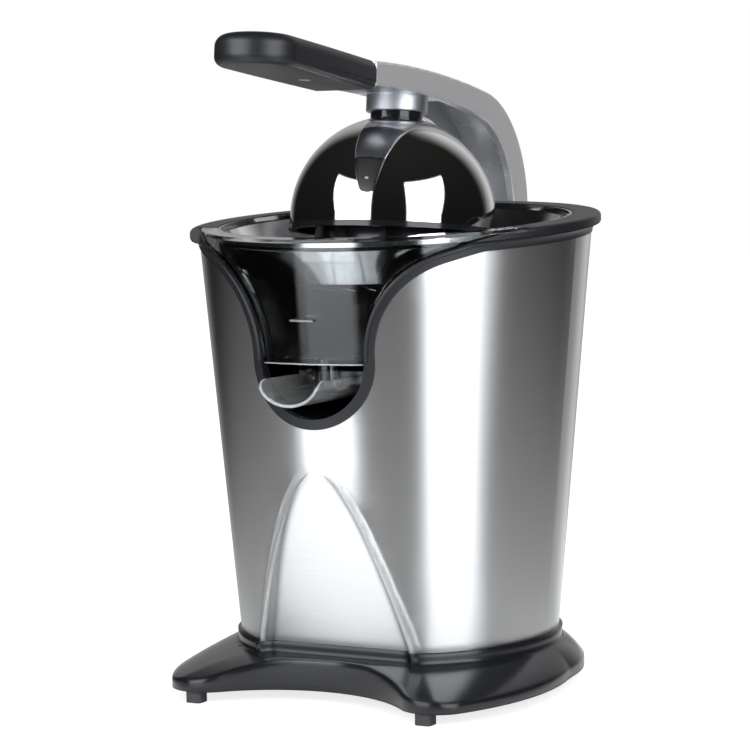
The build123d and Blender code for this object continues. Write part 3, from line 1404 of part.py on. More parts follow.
with BuildPart() as grip_screw:
    with BuildSketch(GRIP_LOW):
        with Locations((0, GRIP_SCREW)):
            Circle(SCREW_HEAD_R)
    extrude(amount=SCREW_HEAD_H)
    with BuildSketch(GRIP_LOW):
        with Locations((0, GRIP_SCREW)):
            Circle(SCREW_R)
    extrude(amount=GRIP_T - GRIP_UNDER_ROUND)

# Press dome: a polished cup with a liner, hung from the arm by a collar and one screw


def cup_face(radius, wall, low):
    """Half section of a domed cup about the dome's own centre"""
    with BuildSketch() as face:
        with BuildLine():
            Line((radius, low), (radius, DOME_SKIRT))
            CenterArc((0, DOME_SKIRT), radius, 0, 90)
            Line((0, DOME_SKIRT + radius), (0, DOME_SKIRT + radius - wall))
            CenterArc((0, DOME_SKIRT), radius - wall, 0, 90)
            Polyline((radius - wall, DOME_SKIRT), (radius - wall, low), (radius, low))
        make_face()
    return face.sketch


DOME_TOP = DOME_SKIRT + DOME_R
LINER_R = DOME_R - DOME_WALL - SLIP
SCREW_SEAT = DOME_SKIRT + sqrt((LINER_R - LINER_T) ** 2 - DOME_SCREW_HEAD_R**2) - SEAT

with BuildPart() as press_dome:
    with BuildSketch(upright(DOME)):
        add(cup_face(DOME_R, DOME_WALL, 0))
    revolve(axis=DOME_AXIS)
    with BuildSketch(DOME):
        Circle(DOME_SCREW_R + SEAT)
    extrude(amount=DOME_TOP, mode=Mode.SUBTRACT)

with BuildPart() as dome_liner:
    with BuildSketch(upright(DOME)):
        add(cup_face(LINER_R, LINER_T, -LIP_H))
        with Locations((LINER_R - LINER_T, -LIP_H)):
            Rectangle(
                DOME_R + LIP_PROUD - LINER_R + LINER_T,
                LIP_H - SEAT,
                align=(Align.MIN, Align.MIN),
            )
    revolve(axis=DOME_AXIS)
    with BuildSketch(DOME):
        Circle(DOME_SCREW_R + SEAT)
    extrude(amount=DOME_TOP, mode=Mode.SUBTRACT)

with BuildPart() as press_neck:
    with BuildSketch(upright(DOME)):
        with BuildLine():
            Polyline(
                (0, DOME_TOP + NECK_H),
                (NECK_R, DOME_TOP + NECK_H),
                (NECK_R, DOME_R),
                (0, DOME_R),
                close=True,
            )
        make_face()
        with Locations((0, DOME_SKIRT)):
            Circle(DOME_R + SEAT, mode=Mode.SUBTRACT)
    revolve(axis=DOME_AXIS)
    with BuildSketch(DOME.offset(DOME_R)):
        Circle(DOME_SCREW_R + SEAT)
    extrude(amount=DOME_TOP, mode=Mode.SUBTRACT)

with BuildPart() as press_collar:
    with BuildSketch(DOME.offset(DOME_TOP + NECK_H)):
        Circle(COLLAR_R)
        Circle(DOME_SCREW_R + SEAT, mode=Mode.SUBTRACT)
    extrude(amount=COLLAR_H)
    fillet(press_collar.edges().sort_by(DOME_AXIS)[0:2].sort_by(SortBy.RADIUS)[-1], COLLAR_EDGE)

with BuildPart() as dome_screw:
    with BuildSketch(DOME.offset(SCREW_SEAT - DOME_SCREW_HEAD_H)):
        Circle(DOME_SCREW_HEAD_R)
    extrude(amount=DOME_SCREW_HEAD_H)
    with BuildSketch(DOME.offset(SCREW_SEAT)):
        Circle(DOME_SCREW_R)
    extrude(amount=COLLAR_TOP + DOME_SCREW_GRIP - SCREW_SEAT)

pieces = {
    "base_skirt": base_skirt,
    "bottom_cover": bottom_cover,
    "feet": feet,
    "bottom_screws": bottom_screws,
    "cord_grommet": cord_grommet,
    "steel_sleeve": steel_sleeve,
    "rim_frame": rim_frame,
    "inner_housing": inner_housing,
    "hinge_bracket": hinge_bracket,
    "bracket_screws": bracket_screws,
    "hinge_pin": hinge_pin,
    "pin_caps": pin_caps,
    "motor_stack": motor_stack,
    "motor_coil": motor_coil,
    "motor_rotor": motor_rotor,
    "motor_end_plate": motor_end_plate,
    "motor_bushes": motor_bushes,
    "gearbox_case": gearbox_case,
    "gearbox_lid": gearbox_lid,
    "gearbox_screws": gearbox_screws,
    "idler_pin": idler_pin,
    "idler_gear": idler_gear,
    "output_gear": output_gear,
    "drive_spindle": drive_spindle,
    "spindle_bush": spindle_bush,
    "shaft_seal": shaft_seal,
    "thrust_plunger": thrust_plunger,
    "spindle_spring": spindle_spring,
    "switch_strap": switch_strap,
    "microswitch": microswitch,
    "switch_button": switch_button,
    "juice_collector": juice_collector,
    "spout": spout,
    "spout_seal": spout_seal,
    "sieve": sieve,
    "reamer_cone": reamer_cone,
    "lever_arm": lever_arm,
    "arm_cover": arm_cover,
    "grip_shell": grip_shell,
    "grip_plate": grip_plate,
    "grip_screw": grip_screw,
    "press_collar": press_collar,
    "press_neck": press_neck,
    "press_dome": press_dome,
    "dome_liner": dome_liner,
    "dome_screw": dome_screw,
}

for name, piece in pieces.items():
    piece.part.label = name
    export_step(piece.part, f"parts/{name}.step")
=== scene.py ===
import json
from math import asin, cos, hypot, pi, radians, sin, sqrt, tan

import bmesh
import bpy
from mathutils import Matrix, Vector


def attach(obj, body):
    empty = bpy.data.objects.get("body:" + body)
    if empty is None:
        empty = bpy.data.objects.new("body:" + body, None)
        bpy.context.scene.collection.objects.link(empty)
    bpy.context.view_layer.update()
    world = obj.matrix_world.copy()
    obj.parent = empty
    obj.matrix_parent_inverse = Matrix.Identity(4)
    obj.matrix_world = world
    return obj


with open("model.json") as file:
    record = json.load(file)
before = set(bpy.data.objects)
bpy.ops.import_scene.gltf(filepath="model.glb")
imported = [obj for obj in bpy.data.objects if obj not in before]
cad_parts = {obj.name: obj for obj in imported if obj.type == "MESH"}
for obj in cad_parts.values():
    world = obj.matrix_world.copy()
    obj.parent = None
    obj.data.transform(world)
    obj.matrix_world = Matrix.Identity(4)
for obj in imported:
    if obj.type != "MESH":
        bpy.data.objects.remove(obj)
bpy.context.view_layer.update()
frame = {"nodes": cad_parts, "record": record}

# Lever-operated citrus press in metres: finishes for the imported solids, fine trim, studio and camera.

nodes = frame["nodes"]
scene = bpy.context.scene

# Camera, from the photo's perspective: place, azimuth to the right of the front, downward tilt and roll
CAMERA_AT = (0.598, -1.1753, 0.274)
CAMERA_AZIMUTH = 27.18
CAMERA_TILT = 4.745
CAMERA_ROLL = -0.79
CAMERA_LENS = 119.1
SENSOR = 36.0

# The press's own places, repeated from the solids
DRIVE_Y = 0.01525
SLEEVE_Z = 0.0280
SLEEVE_R = 0.0860
SLEEVE_FLARE = 0.08919
BASE_TOP = 0.0223
BAND_PROUD = 0.0020
BAY_TOP = 0.1214
BAY_HALF = 0.0398
BAY_FOOT = 0.0690
THROAT_HALF = 0.0295
THROAT_Z = 0.1777
THROAT_SIDE = 0.1800
THROAT_FLARE = 0.0552
THROAT_LEAN = 20.0
SURROUND_PROUD = 0.0008
APRON_SHY = 0.0016
SPOUT_HALF = 0.0175
SPOUT_DEPTH = 0.0135
SPOUT_WALL = 0.0016
SPOUT_Z = 0.1700
SPOUT_LIP = 0.1210
SPOUT_ROUND = 0.0070

# Trim: radii, how deep beads sit in the surface under them, places and steps along a path
BAY_BEAD = (0.0019, 0.0003)
BAY_BEAD_SUNK = 0.0006
BAY_STEPS = 40
BAY_CROWDING = 1.4
BAY_SEARCH_LOW = -0.004
BAY_SEARCH_ROUNDS = 40
BAND_STEPS = 4
LIP_BEAD = 0.0011
LIP_BEAD_IN = 0.0011
LIP_BEAD_SUNK = 0.0002
LIP_BEAD_END = 0.094
LIP_CURVE_STEPS = 30
LIP_END_STEPS = 8
MARK_Z = 0.1985
MARK_X = (-0.0105, 0.0045)
MARK_R = 0.0006
MARK_STEPS = 8
FOOT_HALF = 0.0285
FOOT_Z = 0.1764
FOOT_R = 0.00035
FOOT_STEPS = 12
SPOUT_EDGE = 0.0008
SPOUT_EDGE_END = 0.3
SPOUT_STEPS = 48
TUBE_SIDES = 12

# Finishes: softened edges and the height over which the steel's run out, plastic grain and refraction
STEEL_SOFT = 0.006
STEEL_SOFT_END = 0.01
BASE_SOFT = 0.005
SOFT_SAMPLES = 8
GRAIN_DEPTH = 0.0003
CLEAR_IOR = 1.45

# Studio: pale floor, glossy surround with two soft windows and the white backdrop, and two soft boxes
AMBIENT = 0.55
FLOOR_R = 6.0
FLOOR_GREY = 0.86
FLOOR_WHITE = 0.53
FLOOR_GLOW = 1.48
ROUND_R = 0.9
ROUND_Z = 0.2
ROUND_STEPS = 40
ROUND_SIDES = 96
ROUND_DARK = (0.008, 0.022)
TABLE_LIFT = 0.0015
TABLE_EDGE = (0.01, 0.03)
TABLE_R = (0.15, 0.84)
TABLE_GREY = 0.75
BACK_LEFT = (-112.0, -142.0)
BACK_LEFT_GREY = 0.46
BACK_RIGHT = (143.0, 182.0)
BACK_RIGHT_GREY = 0.75
BACK_UP = (42.0, 72.0)
WINDOW_GLOW = 4.6
WINDOW_FOOT = 0.16
WINDOW_FADE = (-14.0, 8.0)
WINDOW_SOFT = 2.0
WINDOW_LEAN = 0.5
LEFT_WINDOW = (2.0, -32.0)
RIGHT_WINDOW = (42.5, 75.0)
WINDOW_TOP = 41.5
BOX_UP = (2.0, 42.0)
BOX_R = 1.9
BOX_POWER = 30.0


def material(name):
    """New node material and its main shader"""
    made = bpy.data.materials.new(name)
    made.use_nodes = True
    return made, made.node_tree.nodes["Principled BSDF"]


def add_node(made, kind, **settings):
    """New node with its settings"""
    node = made.node_tree.nodes.new(kind)
    for key, value in settings.items():
        setattr(node, key, value)
    return node


def wire(made, start, end):
    """Link between two sockets"""
    made.node_tree.links.new(start, end)


def set_inputs(node, **values):
    """Constant values on a node's own sockets"""
    for key, value in values.items():
        node.inputs[key.replace("_", " ")].default_value = value


def math_node(made, operation, a, b=None):
    """Math node fed by sockets or numbers"""
    node = add_node(made, "ShaderNodeMath", operation=operation)
    for socket, value in zip(node.inputs, (a, b)):
        if value is None:
            continue
        if isinstance(value, (int, float)):
            socket.default_value = value
        else:
            wire(made, value, socket)
    return node.outputs[0]


def noise(made, vector, scale, detail=3.0):
    """Noise value along a vector"""
    node = add_node(made, "ShaderNodeTexNoise")
    set_inputs(node, Scale=scale, Detail=detail)
    wire(made, vector, node.inputs["Vector"])
    return node.outputs["Fac"]


def ramp(made, value, low, high, start=0.0, end=1.0, kind="LINEAR"):
    """Value mapped from one range to another"""
    node = add_node(made, "ShaderNodeMapRange", interpolation_type=kind)
    for index, number in enumerate((start, end, low, high), 1):
        node.inputs[index].default_value = number
    wire(made, value, node.inputs[0])
    return node.outputs[0]


def tint(made, value, dark, light):
    """Colour between two others"""
    node = add_node(made, "ShaderNodeMix", data_type="RGBA")
    node.inputs[6].default_value = (*dark, 1)
    node.inputs[7].default_value = (*light, 1)
    wire(made, value, node.inputs[0])
    return node.outputs[2]


def bump(made, shader, height, strength, distance, soften=0.0):
    """Bump on a shader's normal, with edges softened over a radius"""
    node = add_node(made, "ShaderNodeBump")
    set_inputs(node, Strength=strength, Distance=distance)
    wire(made, height, node.inputs["Height"])
    if soften:
        edge = add_node(made, "ShaderNodeBevel", samples=SOFT_SAMPLES)
        set_inputs(edge, Radius=soften)
        wire(made, edge.outputs[0], node.inputs["Normal"])
    wire(made, node.outputs[0], shader.inputs["Normal"])


def place(made):
    """Point on the object, in the frame's own metres"""
    return add_node(made, "ShaderNodeTexCoord").outputs["Object"]


def round_place(made, along, up):
    """Point unrolled round the drive axis: angle and height, stretched by the two factors"""
    parts = add_node(made, "ShaderNodeSeparateXYZ")
    wire(made, place(made), parts.inputs[0])
    across = math_node(made, "SUBTRACT", parts.outputs[1], DRIVE_Y)
    angle = math_node(made, "ARCTAN2", across, parts.outputs[0])
    joined = add_node(made, "ShaderNodeCombineXYZ")
    wire(made, math_node(made, "MULTIPLY", angle, along), joined.inputs[0])
    wire(made, math_node(made, "MULTIPLY", parts.outputs[2], up), joined.inputs[1])
    return joined.outputs[0]


def brushed_steel():
    """Stainless sheet brushed round the body, so that reflections smear upright"""
    made, shader = material("brushed_body")
    lines = noise(made, round_place(made, 2.0, 2600.0), 1.0, 4.0)
    set_inputs(shader, Metallic=1.0, Anisotropic=0.95, Anisotropic_Rotation=0.25)
    wire(made, tint(made, lines, (0.62, 0.62, 0.62), (0.75, 0.75, 0.75)), shader.inputs["Base Color"])
    wire(made, ramp(made, lines, 0.32, 0.38), shader.inputs["Roughness"])
    parts = add_node(made, "ShaderNodeSeparateXYZ")
    wire(made, place(made), parts.inputs[0])
    edge = add_node(made, "ShaderNodeBevel", samples=SOFT_SAMPLES)
    soft = ramp(made, parts.outputs[2], STEEL_SOFT, 0.0, BAY_TOP, BAY_TOP + STEEL_SOFT_END)
    wire(made, soft, edge.inputs["Radius"])
    wire(made, edge.outputs[0], shader.inputs["Normal"])
    tangent = add_node(made, "ShaderNodeTangent", direction_type="RADIAL", axis="Z")
    wire(made, tangent.outputs[0], shader.inputs["Tangent"])
    return made


def polished(name, colour, roughness):
    """Bright metal with faint smears"""
    made, shader = material(name)
    smear = noise(made, place(made), 60.0, 4.0)
    set_inputs(shader, Metallic=1.0)
    wire(made, tint(made, smear, [0.97 * c for c in colour], colour), shader.inputs["Base Color"])
    wire(made, ramp(made, smear, 0.7 * roughness, 1.3 * roughness), shader.inputs["Roughness"])
    return made


def moulded(name, colour, roughness, grain, depth, soften=0.0):
    """Moulded plastic with a fine spark-eroded grain and softened edges"""
    made, shader = material(name)
    fine = noise(made, place(made), grain, 2.0)
    broad = noise(made, place(made), 35.0, 2.0)
    light = [1.25 * c for c in colour]
    wire(made, tint(made, broad, colour, light), shader.inputs["Base Color"])
    wire(made, ramp(made, broad, 0.9 * roughness, 1.1 * roughness), shader.inputs["Roughness"])
    bump(made, shader, fine, depth, GRAIN_DEPTH, soften)
    return made


def clear_plastic(name, clear):
    """Clear polished plastic, with the share of light that goes straight through"""
    made, shader = material(name)
    flow = noise(made, place(made), 18.0, 1.0)
    set_inputs(shader, Base_Color=(0.95, 0.965, 0.97, 1), IOR=CLEAR_IOR, Transmission_Weight=clear)
    wire(made, ramp(made, flow, 0.01, 0.04), shader.inputs["Roughness"])
    return made


def silver_paint():
    """Silver paint on a casting, satin on its two sides and glossier on its smooth top and hollow,
    where a lighter bluish colour is a painted reflection
    """
    made, shader = material("arm_silver")
    flakes = noise(made, place(made), 2600.0, 2.0)
    broad = noise(made, place(made), 30.0, 3.0)
    facing = add_node(made, "ShaderNodeSeparateXYZ")
    wire(made, add_node(made, "ShaderNodeNewGeometry").outputs["Normal"], facing.inputs[0])
    side = ramp(made, math_node(made, "ABSOLUTE", facing.outputs[0]), 0.0, 1.0, 0.35, 0.85)
    set_inputs(shader, Metallic=0.6, Coat_Weight=0.1, Coat_Roughness=0.3)
    satin = tint(made, flakes, (0.43, 0.43, 0.44), (0.55, 0.55, 0.56))
    # Painted reflection: faces that do not face sideways get a light bluish colour in place of the
    # satin one
    mix = add_node(made, "ShaderNodeMix", data_type="RGBA")
    mix.inputs[6].default_value = (0.74, 0.76, 0.80, 1)
    wire(made, side, mix.inputs[0])
    wire(made, satin, mix.inputs[7])
    wire(made, mix.outputs[2], shader.inputs["Base Color"])
    rough = math_node(made, "ADD", ramp(made, side, 0.24, 0.40), ramp(made, broad, 0.0, 0.06))
    wire(made, rough, shader.inputs["Roughness"])
    return made


def make_finishes():
    """Finish of every slot"""
    black = (0.007, 0.0074, 0.0092)
    return {
        "brushed_body": brushed_steel(),
        "polished_dome": polished("polished_dome", (0.78, 0.772, 0.765), 0.03),
        "sieve_steel": polished("sieve_steel", (0.80, 0.80, 0.80), 0.14),
        "rim_black": moulded("rim_black", black, 0.42, 1500.0, 0.02),
        "base_black": moulded("base_black", black, 0.18, 1800.0, 0.03, BASE_SOFT),
        "housing_black": moulded("housing_black", black, 0.45, 1800.0, 0.05),
        "clear_plastic": clear_plastic("clear_plastic", 1.0),
        "arm_silver": silver_paint(),
        "collar_metal": polished("collar_metal", (0.60, 0.61, 0.64), 0.46),
        "neck_black": moulded("neck_black", black, 0.10, 900.0, 0.01),
        "grip_black": moulded("grip_black", black, 0.40, 2200.0, 0.06),
        "reamer_black": moulded("reamer_black", (0.016, 0.016, 0.018), 0.2, 900.0, 0.02),
        "black_rubber": moulded("black_rubber", (0.025, 0.025, 0.028), 0.6, 2400.0, 0.1),
        "plain_steel": polished("plain_steel", (0.60, 0.60, 0.61), 0.3),
        "stack_steel": polished("stack_steel", (0.34, 0.34, 0.35), 0.45),
        "copper_winding": polished("copper_winding", (0.66, 0.31, 0.14), 0.35),
        "bush_bronze": polished("bush_bronze", (0.62, 0.44, 0.22), 0.4),
        "gearbox_plastic": moulded("gearbox_plastic", (0.11, 0.11, 0.12), 0.5, 1800.0, 0.05),
        "gear_nylon": moulded("gear_nylon", (0.62, 0.60, 0.55), 0.45, 1200.0, 0.04),
    }


def paint_solids():
    """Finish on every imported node, by its slot"""
    for part in frame["record"]["subparts"]:
        slots = nodes[part["node"]].data.materials
        slots.clear()
        slots.append(finishes[part["material_slot"]])
    nodes["spout"].data.materials[0] = clear_plastic("spout_plastic", 0.94)
    nodes["arm_cover"].data.materials[0] = polished("cover_gloss", (0.30, 0.31, 0.34), 0.34)


def sleeve_radius(z):
    """Outer radius of the steel sleeve"""
    return SLEEVE_R + SLEEVE_FLARE * (z - SLEEVE_Z)


def on_body(x, z, proud):
    """Point on the front of the body at a width and height, so much proud of the steel"""
    radius = sleeve_radius(z) + proud
    return Vector((x, DRIVE_Y - sqrt(radius**2 - x**2), z))


def tube(name, slot, path, radii, body="housing", finish=None):
    """Rounded bead along a path, as a piece of a body"""
    form = bmesh.new()
    rings = []
    for index, point in enumerate(path):
        ahead = path[min(index + 1, len(path) - 1)] - path[max(index - 1, 0)]
        out = Vector((point.x, point.y - DRIVE_Y, 0)).normalized()
        across = ahead.cross(out).normalized()
        out = across.cross(ahead).normalized()
        ring = []
        for side in range(TUBE_SIDES):
            angle = 2 * pi * side / TUBE_SIDES
            offset = across * cos(angle) + out * sin(angle)
            ring.append(form.verts.new(point + radii[index] * offset))
        rings.append(ring)
    for near, far in zip(rings, rings[1:]):
        for side in range(TUBE_SIDES):
            after = (side + 1) % TUBE_SIDES
            form.faces.new((near[side], near[after], far[after], far[side]))
    form.faces.new(rings[0][::-1])
    form.faces.new(rings[-1])
    bmesh.ops.recalc_face_normals(form, faces=form.faces)
    mesh = bpy.data.meshes.new(name)
    form.to_mesh(mesh)
    form.free()
    mesh.shade_smooth()
    mesh.materials.append(finish or finishes[slot])
    piece = bpy.data.objects.new(name, mesh)
    scene.collection.objects.link(piece)
    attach(piece, body)


def bay_point(share, low, proud):
    """Point where the bay's leaning wall meets the body: the share runs from left foot to right foot"""
    rise = BAY_TOP - SLEEVE_Z
    slope = sleeve_radius(BAY_TOP) - BAY_FOOT
    length = hypot(rise, slope)
    below, above = BAY_SEARCH_LOW, BAY_FOOT / 2
    for _ in range(BAY_SEARCH_ROUNDS):
        height = (below + above) / 2
        x = (BAY_HALF + height) * (2 * share - 1)
        up = 4 * share * (1 - share) * (length + height) - low
        y = -BAY_FOOT - (up * slope + height * rise) / length
        z = SLEEVE_Z + (up * rise - height * slope) / length
        if hypot(x, y) < sleeve_radius(z) + proud:
            below = height
        else:
            above = height
    return Vector((x, DRIVE_Y + y, z))


def bay_beads():
    """Bright bead along both edges of the bay, and its black end on the base's band"""
    steps = range(BAY_STEPS + 1)
    foot, tip = BAY_BEAD
    for side, name in ((0, "left"), (1, "right")):
        shares = [abs(side - 0.5 * (step / BAY_STEPS) ** BAY_CROWDING) for step in steps]
        path = [bay_point(share, 0, -BAY_BEAD_SUNK) for share in shares]
        radii = [foot + (tip - foot) * step / BAY_STEPS for step in steps]
        tube(f"bay_bead_{name}", "brushed_body", path, radii)
        low = [(SLEEVE_Z - BASE_TOP) * step / BAND_STEPS for step in range(BAND_STEPS + 1)]
        path = [bay_point(side, drop, BAND_PROUD - BAY_BEAD_SUNK) for drop in low]
        tube(f"band_bead_{name}", "base_black", path, [foot] * len(path))


def lip_beads():
    """Bead along both flared sides of the spout opening, from the rim down to the spout"""
    lean = radians(THROAT_LEAN)
    flare = THROAT_FLARE - LIP_BEAD_IN
    half = THROAT_HALF + LIP_BEAD_IN
    for side, name in ((-1, "left"), (1, "right")):
        outline = [(half, THROAT_Z), (half, THROAT_SIDE)]
        for step in range(1, LIP_CURVE_STEPS + 1):
            angle = (pi / 2 - lean) * step / LIP_CURVE_STEPS
            outline.append((half + flare - flare * cos(angle), THROAT_SIDE + flare * sin(angle)))
        x, z = outline[-1]
        for step in range(1, LIP_END_STEPS + 1):
            run = (LIP_BEAD_END - x) * step / LIP_END_STEPS
            outline.append((x + run, z + run * tan(lean)))
        path = [on_body(side * x, z, SURROUND_PROUD - LIP_BEAD_SUNK) for x, z in outline]
        radii = [LIP_BEAD] * len(path)
        radii[0] = LIP_BEAD / 2
        tube(f"lip_bead_{name}", "rim_black", path, radii)


def fill_mark():
    """Raised line on the collector's front"""
    left, right = MARK_X
    xs = [left + (right - left) * step / MARK_STEPS for step in range(MARK_STEPS + 1)]
    path = [on_body(x, MARK_Z, -APRON_SHY) for x in xs]
    tube("fill_mark", "clear_plastic", path, [MARK_R] * len(path))


def painted_glint_edge():
    """Clear plastic made pale and frosted at an edge, a painted highlight standing for the bright glint
    along the edge
    """
    made, shader = material("painted_glint_edge")
    flow = noise(made, place(made), 90.0, 2.0)
    set_inputs(shader, IOR=CLEAR_IOR, Transmission_Weight=0.75)
    # Painted highlight: pale whitish colour on plastic that is really clear
    wire(made, tint(made, flow, (0.80, 0.83, 0.86), (0.92, 0.94, 0.96)), shader.inputs["Base Color"])
    wire(made, ramp(made, flow, 0.12, 0.22), shader.inputs["Roughness"])
    return made


def apron_foot(finish):
    """Rounded edge along the foot of the collector's front, made bright by the painted highlight in its
    finish
    """
    xs = [FOOT_HALF * (step / FOOT_STEPS - 1) for step in range(2 * FOOT_STEPS + 1)]
    path = [on_body(x, FOOT_Z, -APRON_SHY) for x in xs]
    tube("apron_foot", "clear_plastic", path, [FOOT_R] * len(path), finish=finish)


def spout_lip(finish):
    """Rounded edge along the spout's lip, made bright by the painted highlight in its finish"""
    half, depth = SPOUT_HALF - SPOUT_WALL / 2, SPOUT_DEPTH - SPOUT_WALL / 2
    outline = []
    for step in range(SPOUT_STEPS + 1):
        angle = pi + pi * step / SPOUT_STEPS
        drop = depth * sin(angle)
        rise = max(0.0, SPOUT_ROUND + drop)
        ahead = SPOUT_LIP - SPOUT_ROUND + sqrt(SPOUT_ROUND**2 - min(rise, SPOUT_ROUND) ** 2)
        outline.append((half * cos(angle), ahead, drop))
    path = [Vector((x, DRIVE_Y - ahead, SPOUT_Z + drop)) for x, ahead, drop in outline]
    swells = [sin(pi * step / SPOUT_STEPS) ** 0.5 for step in range(SPOUT_STEPS + 1)]
    radii = [SPOUT_EDGE * (SPOUT_EDGE_END + (1 - SPOUT_EDGE_END) * swell) for swell in swells]
    tube("spout_lip", "clear_plastic", path, radii, "spout", finish)


def on_ring(radius, azimuth, z):
    """Point round the press; azimuth 0 is the front, positive to the right"""
    return Vector((radius * sin(radians(azimuth)), -radius * cos(radians(azimuth)), z))


def stage_mesh(name, form):
    """Staged object from a finished form"""
    mesh = bpy.data.meshes.new(name)
    form.to_mesh(mesh)
    form.free()
    made = bpy.data.objects.new(name, mesh)
    scene.collection.objects.link(made)
    return made


def lay_floor():
    """Pale floor that stays white to the camera and keeps a soft shadow"""
    form = bmesh.new()
    bmesh.ops.create_circle(form, cap_ends=True, radius=FLOOR_R, segments=ROUND_SIDES)
    floor = stage_mesh("floor", form)
    made, shader = material("floor")
    set_inputs(shader, Base_Color=(FLOOR_GREY, FLOOR_GREY, FLOOR_GREY, 1), Roughness=0.9)
    glow = add_node(made, "ShaderNodeEmission")
    set_inputs(glow, Strength=FLOOR_GLOW)
    path = add_node(made, "ShaderNodeLightPath")
    share = math_node(made, "MULTIPLY", path.outputs["Is Camera Ray"], FLOOR_WHITE)
    mix = add_node(made, "ShaderNodeMixShader")
    wire(made, share, mix.inputs[0])
    wire(made, shader.outputs[0], mix.inputs[1])
    wire(made, glow.outputs[0], mix.inputs[2])
    wire(made, mix.outputs[0], made.node_tree.nodes["Material Output"].inputs[0])
    floor.data.materials.append(made)


def soft_step(made, value, start, end):
    """Share that rises softly from one angle to another, in degrees"""
    return ramp(made, value, 0.0, 1.0, radians(start), radians(end), "SMOOTHSTEP")


def soft_window(made, azimuth, lift, span):
    """Share inside a soft window from its inner to its outer side, which leans out with height"""
    inner, outer = span
    soft = WINDOW_SOFT if outer > inner else -WINDOW_SOFT
    lean = math_node(made, "MULTIPLY", math_node(made, "MAXIMUM", lift, 0.0), WINDOW_LEAN)
    leaning = math_node(made, "SUBTRACT" if soft > 0 else "ADD", azimuth, lean)
    near = soft_step(made, azimuth, inner - soft, inner + soft)
    far = soft_step(made, leaning, outer + soft, outer - soft)
    return math_node(made, "MULTIPLY", near, far)


def hang_surround():
    """Dark studio with two soft windows and a white backdrop, seen only in reflections"""
    low = TABLE_LIFT - ROUND_Z
    profile = [(TABLE_R[0], low)]
    start = asin(low / ROUND_R)
    for step in range(ROUND_STEPS):
        angle = start + (pi / 2 - start) * step / ROUND_STEPS
        profile.append((ROUND_R * cos(angle), ROUND_R * sin(angle)))
    form = bmesh.new()
    rows = []
    azimuths = [360 * step / ROUND_SIDES for step in range(ROUND_SIDES)]
    for radius, z in profile:
        rows.append([form.verts.new(on_ring(radius, azimuth, z)) for azimuth in azimuths])
    top = form.verts.new((0, 0, ROUND_R))
    for below, above in zip(rows, rows[1:]):
        for step in range(ROUND_SIDES):
            after = (step + 1) % ROUND_SIDES
            form.faces.new((below[step], below[after], above[after], above[step]))
    for step in range(ROUND_SIDES):
        form.faces.new((rows[-1][step], rows[-1][(step + 1) % ROUND_SIDES], top))
    globe = stage_mesh("surround", form)
    globe.location = (0, DRIVE_Y, ROUND_Z)
    made = bpy.data.materials.new("surround")
    made.use_nodes = True
    parts = add_node(made, "ShaderNodeSeparateXYZ")
    wire(made, place(made), parts.inputs[0])
    ahead = math_node(made, "MULTIPLY", parts.outputs[1], -1.0)
    azimuth = math_node(made, "ARCTAN2", parts.outputs[0], ahead)
    lift = math_node(made, "DIVIDE", parts.outputs[2], ROUND_R)
    lift = math_node(made, "ARCSINE", math_node(made, "MINIMUM", lift, 1.0))
    left = math_node(made, "MULTIPLY", soft_step(made, azimuth, *BACK_LEFT), BACK_LEFT_GREY)
    right = math_node(made, "MULTIPLY", soft_step(made, azimuth, *BACK_RIGHT), BACK_RIGHT_GREY)
    back = math_node(made, "MAXIMUM", left, right)
    back = math_node(made, "MULTIPLY", back, soft_step(made, lift, BACK_UP[1], BACK_UP[0]))
    one = soft_window(made, azimuth, lift, LEFT_WINDOW)
    two = soft_window(made, azimuth, lift, RIGHT_WINDOW)
    fade = ramp(made, lift, WINDOW_FOOT, 1.0, *[radians(tilt) for tilt in WINDOW_FADE])
    head = soft_step(made, lift, WINDOW_TOP + WINDOW_SOFT, WINDOW_TOP - WINDOW_SOFT)
    windows = math_node(made, "MULTIPLY", math_node(made, "ADD", one, two), fade)
    windows = math_node(made, "MULTIPLY", windows, head)
    windows = math_node(made, "MULTIPLY", windows, WINDOW_GLOW)
    reach = add_node(made, "ShaderNodeVectorMath", operation="LENGTH")
    wire(made, place(made), reach.inputs[0])
    table = ramp(made, reach.outputs["Value"], TABLE_GREY, 0.0, *[hypot(r, low) for r in TABLE_R])
    flat = ramp(made, parts.outputs[2], 1.0, 0.0, *[low + rise for rise in TABLE_EDGE])
    table = math_node(made, "MULTIPLY", table, flat)
    total = math_node(made, "ADD", math_node(made, "ADD", windows, back), table)
    total = math_node(made, "ADD", total, ramp(made, lift, *ROUND_DARK, 0.0, pi / 2))
    glow = add_node(made, "ShaderNodeEmission")
    wire(made, tint(made, total, (1.0, 0.96, 0.93), (0.93, 0.965, 1.0)), glow.inputs["Color"])
    wire(made, total, glow.inputs["Strength"])
    wire(made, glow.outputs[0], made.node_tree.nodes["Material Output"].inputs[0])
    globe.data.materials.append(made)
    globe.visible_camera = False
    globe.visible_diffuse = False
    globe.visible_shadow = False


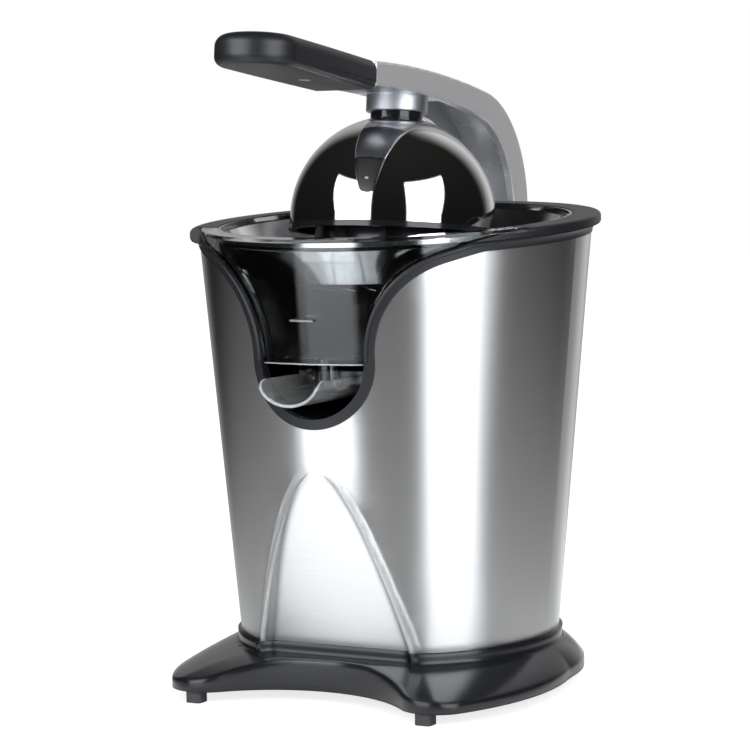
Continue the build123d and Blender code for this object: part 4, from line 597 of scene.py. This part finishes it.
def soft_box(name, span):
    """Tall soft box that lights the press between two azimuths"""
    low, high = [BOX_R * tan(radians(tilt)) + ROUND_Z for tilt in BOX_UP]
    data = bpy.data.lights.new(name, "AREA")
    data.shape = "RECTANGLE"
    data.size = 2 * BOX_R * tan(radians(abs(span[1] - span[0]) / 2))
    data.size_y = high - low
    data.energy = BOX_POWER
    lamp = bpy.data.objects.new(name, data)
    scene.collection.objects.link(lamp)
    lamp.location = on_ring(BOX_R, sum(span) / 2, (low + high) / 2)
    towards = Vector((0, 0, lamp.location.z)) - lamp.location
    lamp.rotation_euler = towards.to_track_quat("-Z", "Y").to_euler()
    lamp.visible_camera = False
    lamp.visible_glossy = False


def light_world():
    """White all round for the camera and in reflections, plain grey light elsewhere"""
    world = bpy.data.worlds.new("studio")
    scene.world = world
    world.use_nodes = True
    tree = world.node_tree
    back = tree.nodes["Background"]
    back.inputs["Color"].default_value = (1, 1, 1, 1)
    path = tree.nodes.new("ShaderNodeLightPath")
    seen = None
    for ray in ("Is Camera Ray", "Is Glossy Ray", "Is Transmission Ray"):
        node = tree.nodes.new("ShaderNodeMath")
        node.operation = "MAXIMUM"
        tree.links.new(path.outputs[ray], node.inputs[0])
        if seen is not None:
            tree.links.new(seen, node.inputs[1])
        seen = node.outputs[0]
    strength = tree.nodes.new("ShaderNodeMapRange")
    strength.inputs[3].default_value = AMBIENT
    strength.inputs[4].default_value = 1.0
    tree.links.new(seen, strength.inputs[0])
    tree.links.new(strength.outputs[0], back.inputs["Strength"])


def aim_camera():
    """Camera at the photo's place and angle"""
    data = bpy.data.cameras.new("camera")
    data.sensor_width = SENSOR
    data.lens = CAMERA_LENS
    camera = bpy.data.objects.new("camera", data)
    scene.collection.objects.link(camera)
    turn = Matrix.Rotation(radians(CAMERA_AZIMUTH), 4, "Z")
    tilt = Matrix.Rotation(radians(90 - CAMERA_TILT), 4, "X")
    roll = Matrix.Rotation(radians(CAMERA_ROLL), 4, "Z")
    camera.matrix_world = Matrix.Translation(CAMERA_AT) @ turn @ tilt @ roll
    scene.camera = camera


finishes = make_finishes()
paint_solids()
bay_beads()
lip_beads()
fill_mark()
# Painted highlight finish for the bright beads on the clear edges
painted_glint_finish = painted_glint_edge()
apron_foot(painted_glint_finish)
spout_lip(painted_glint_finish)
lay_floor()
hang_surround()
soft_box("left_box", LEFT_WINDOW)
soft_box("right_box", RIGHT_WINDOW)
light_world()
aim_camera()
scene.view_settings.view_transform = "Standard"
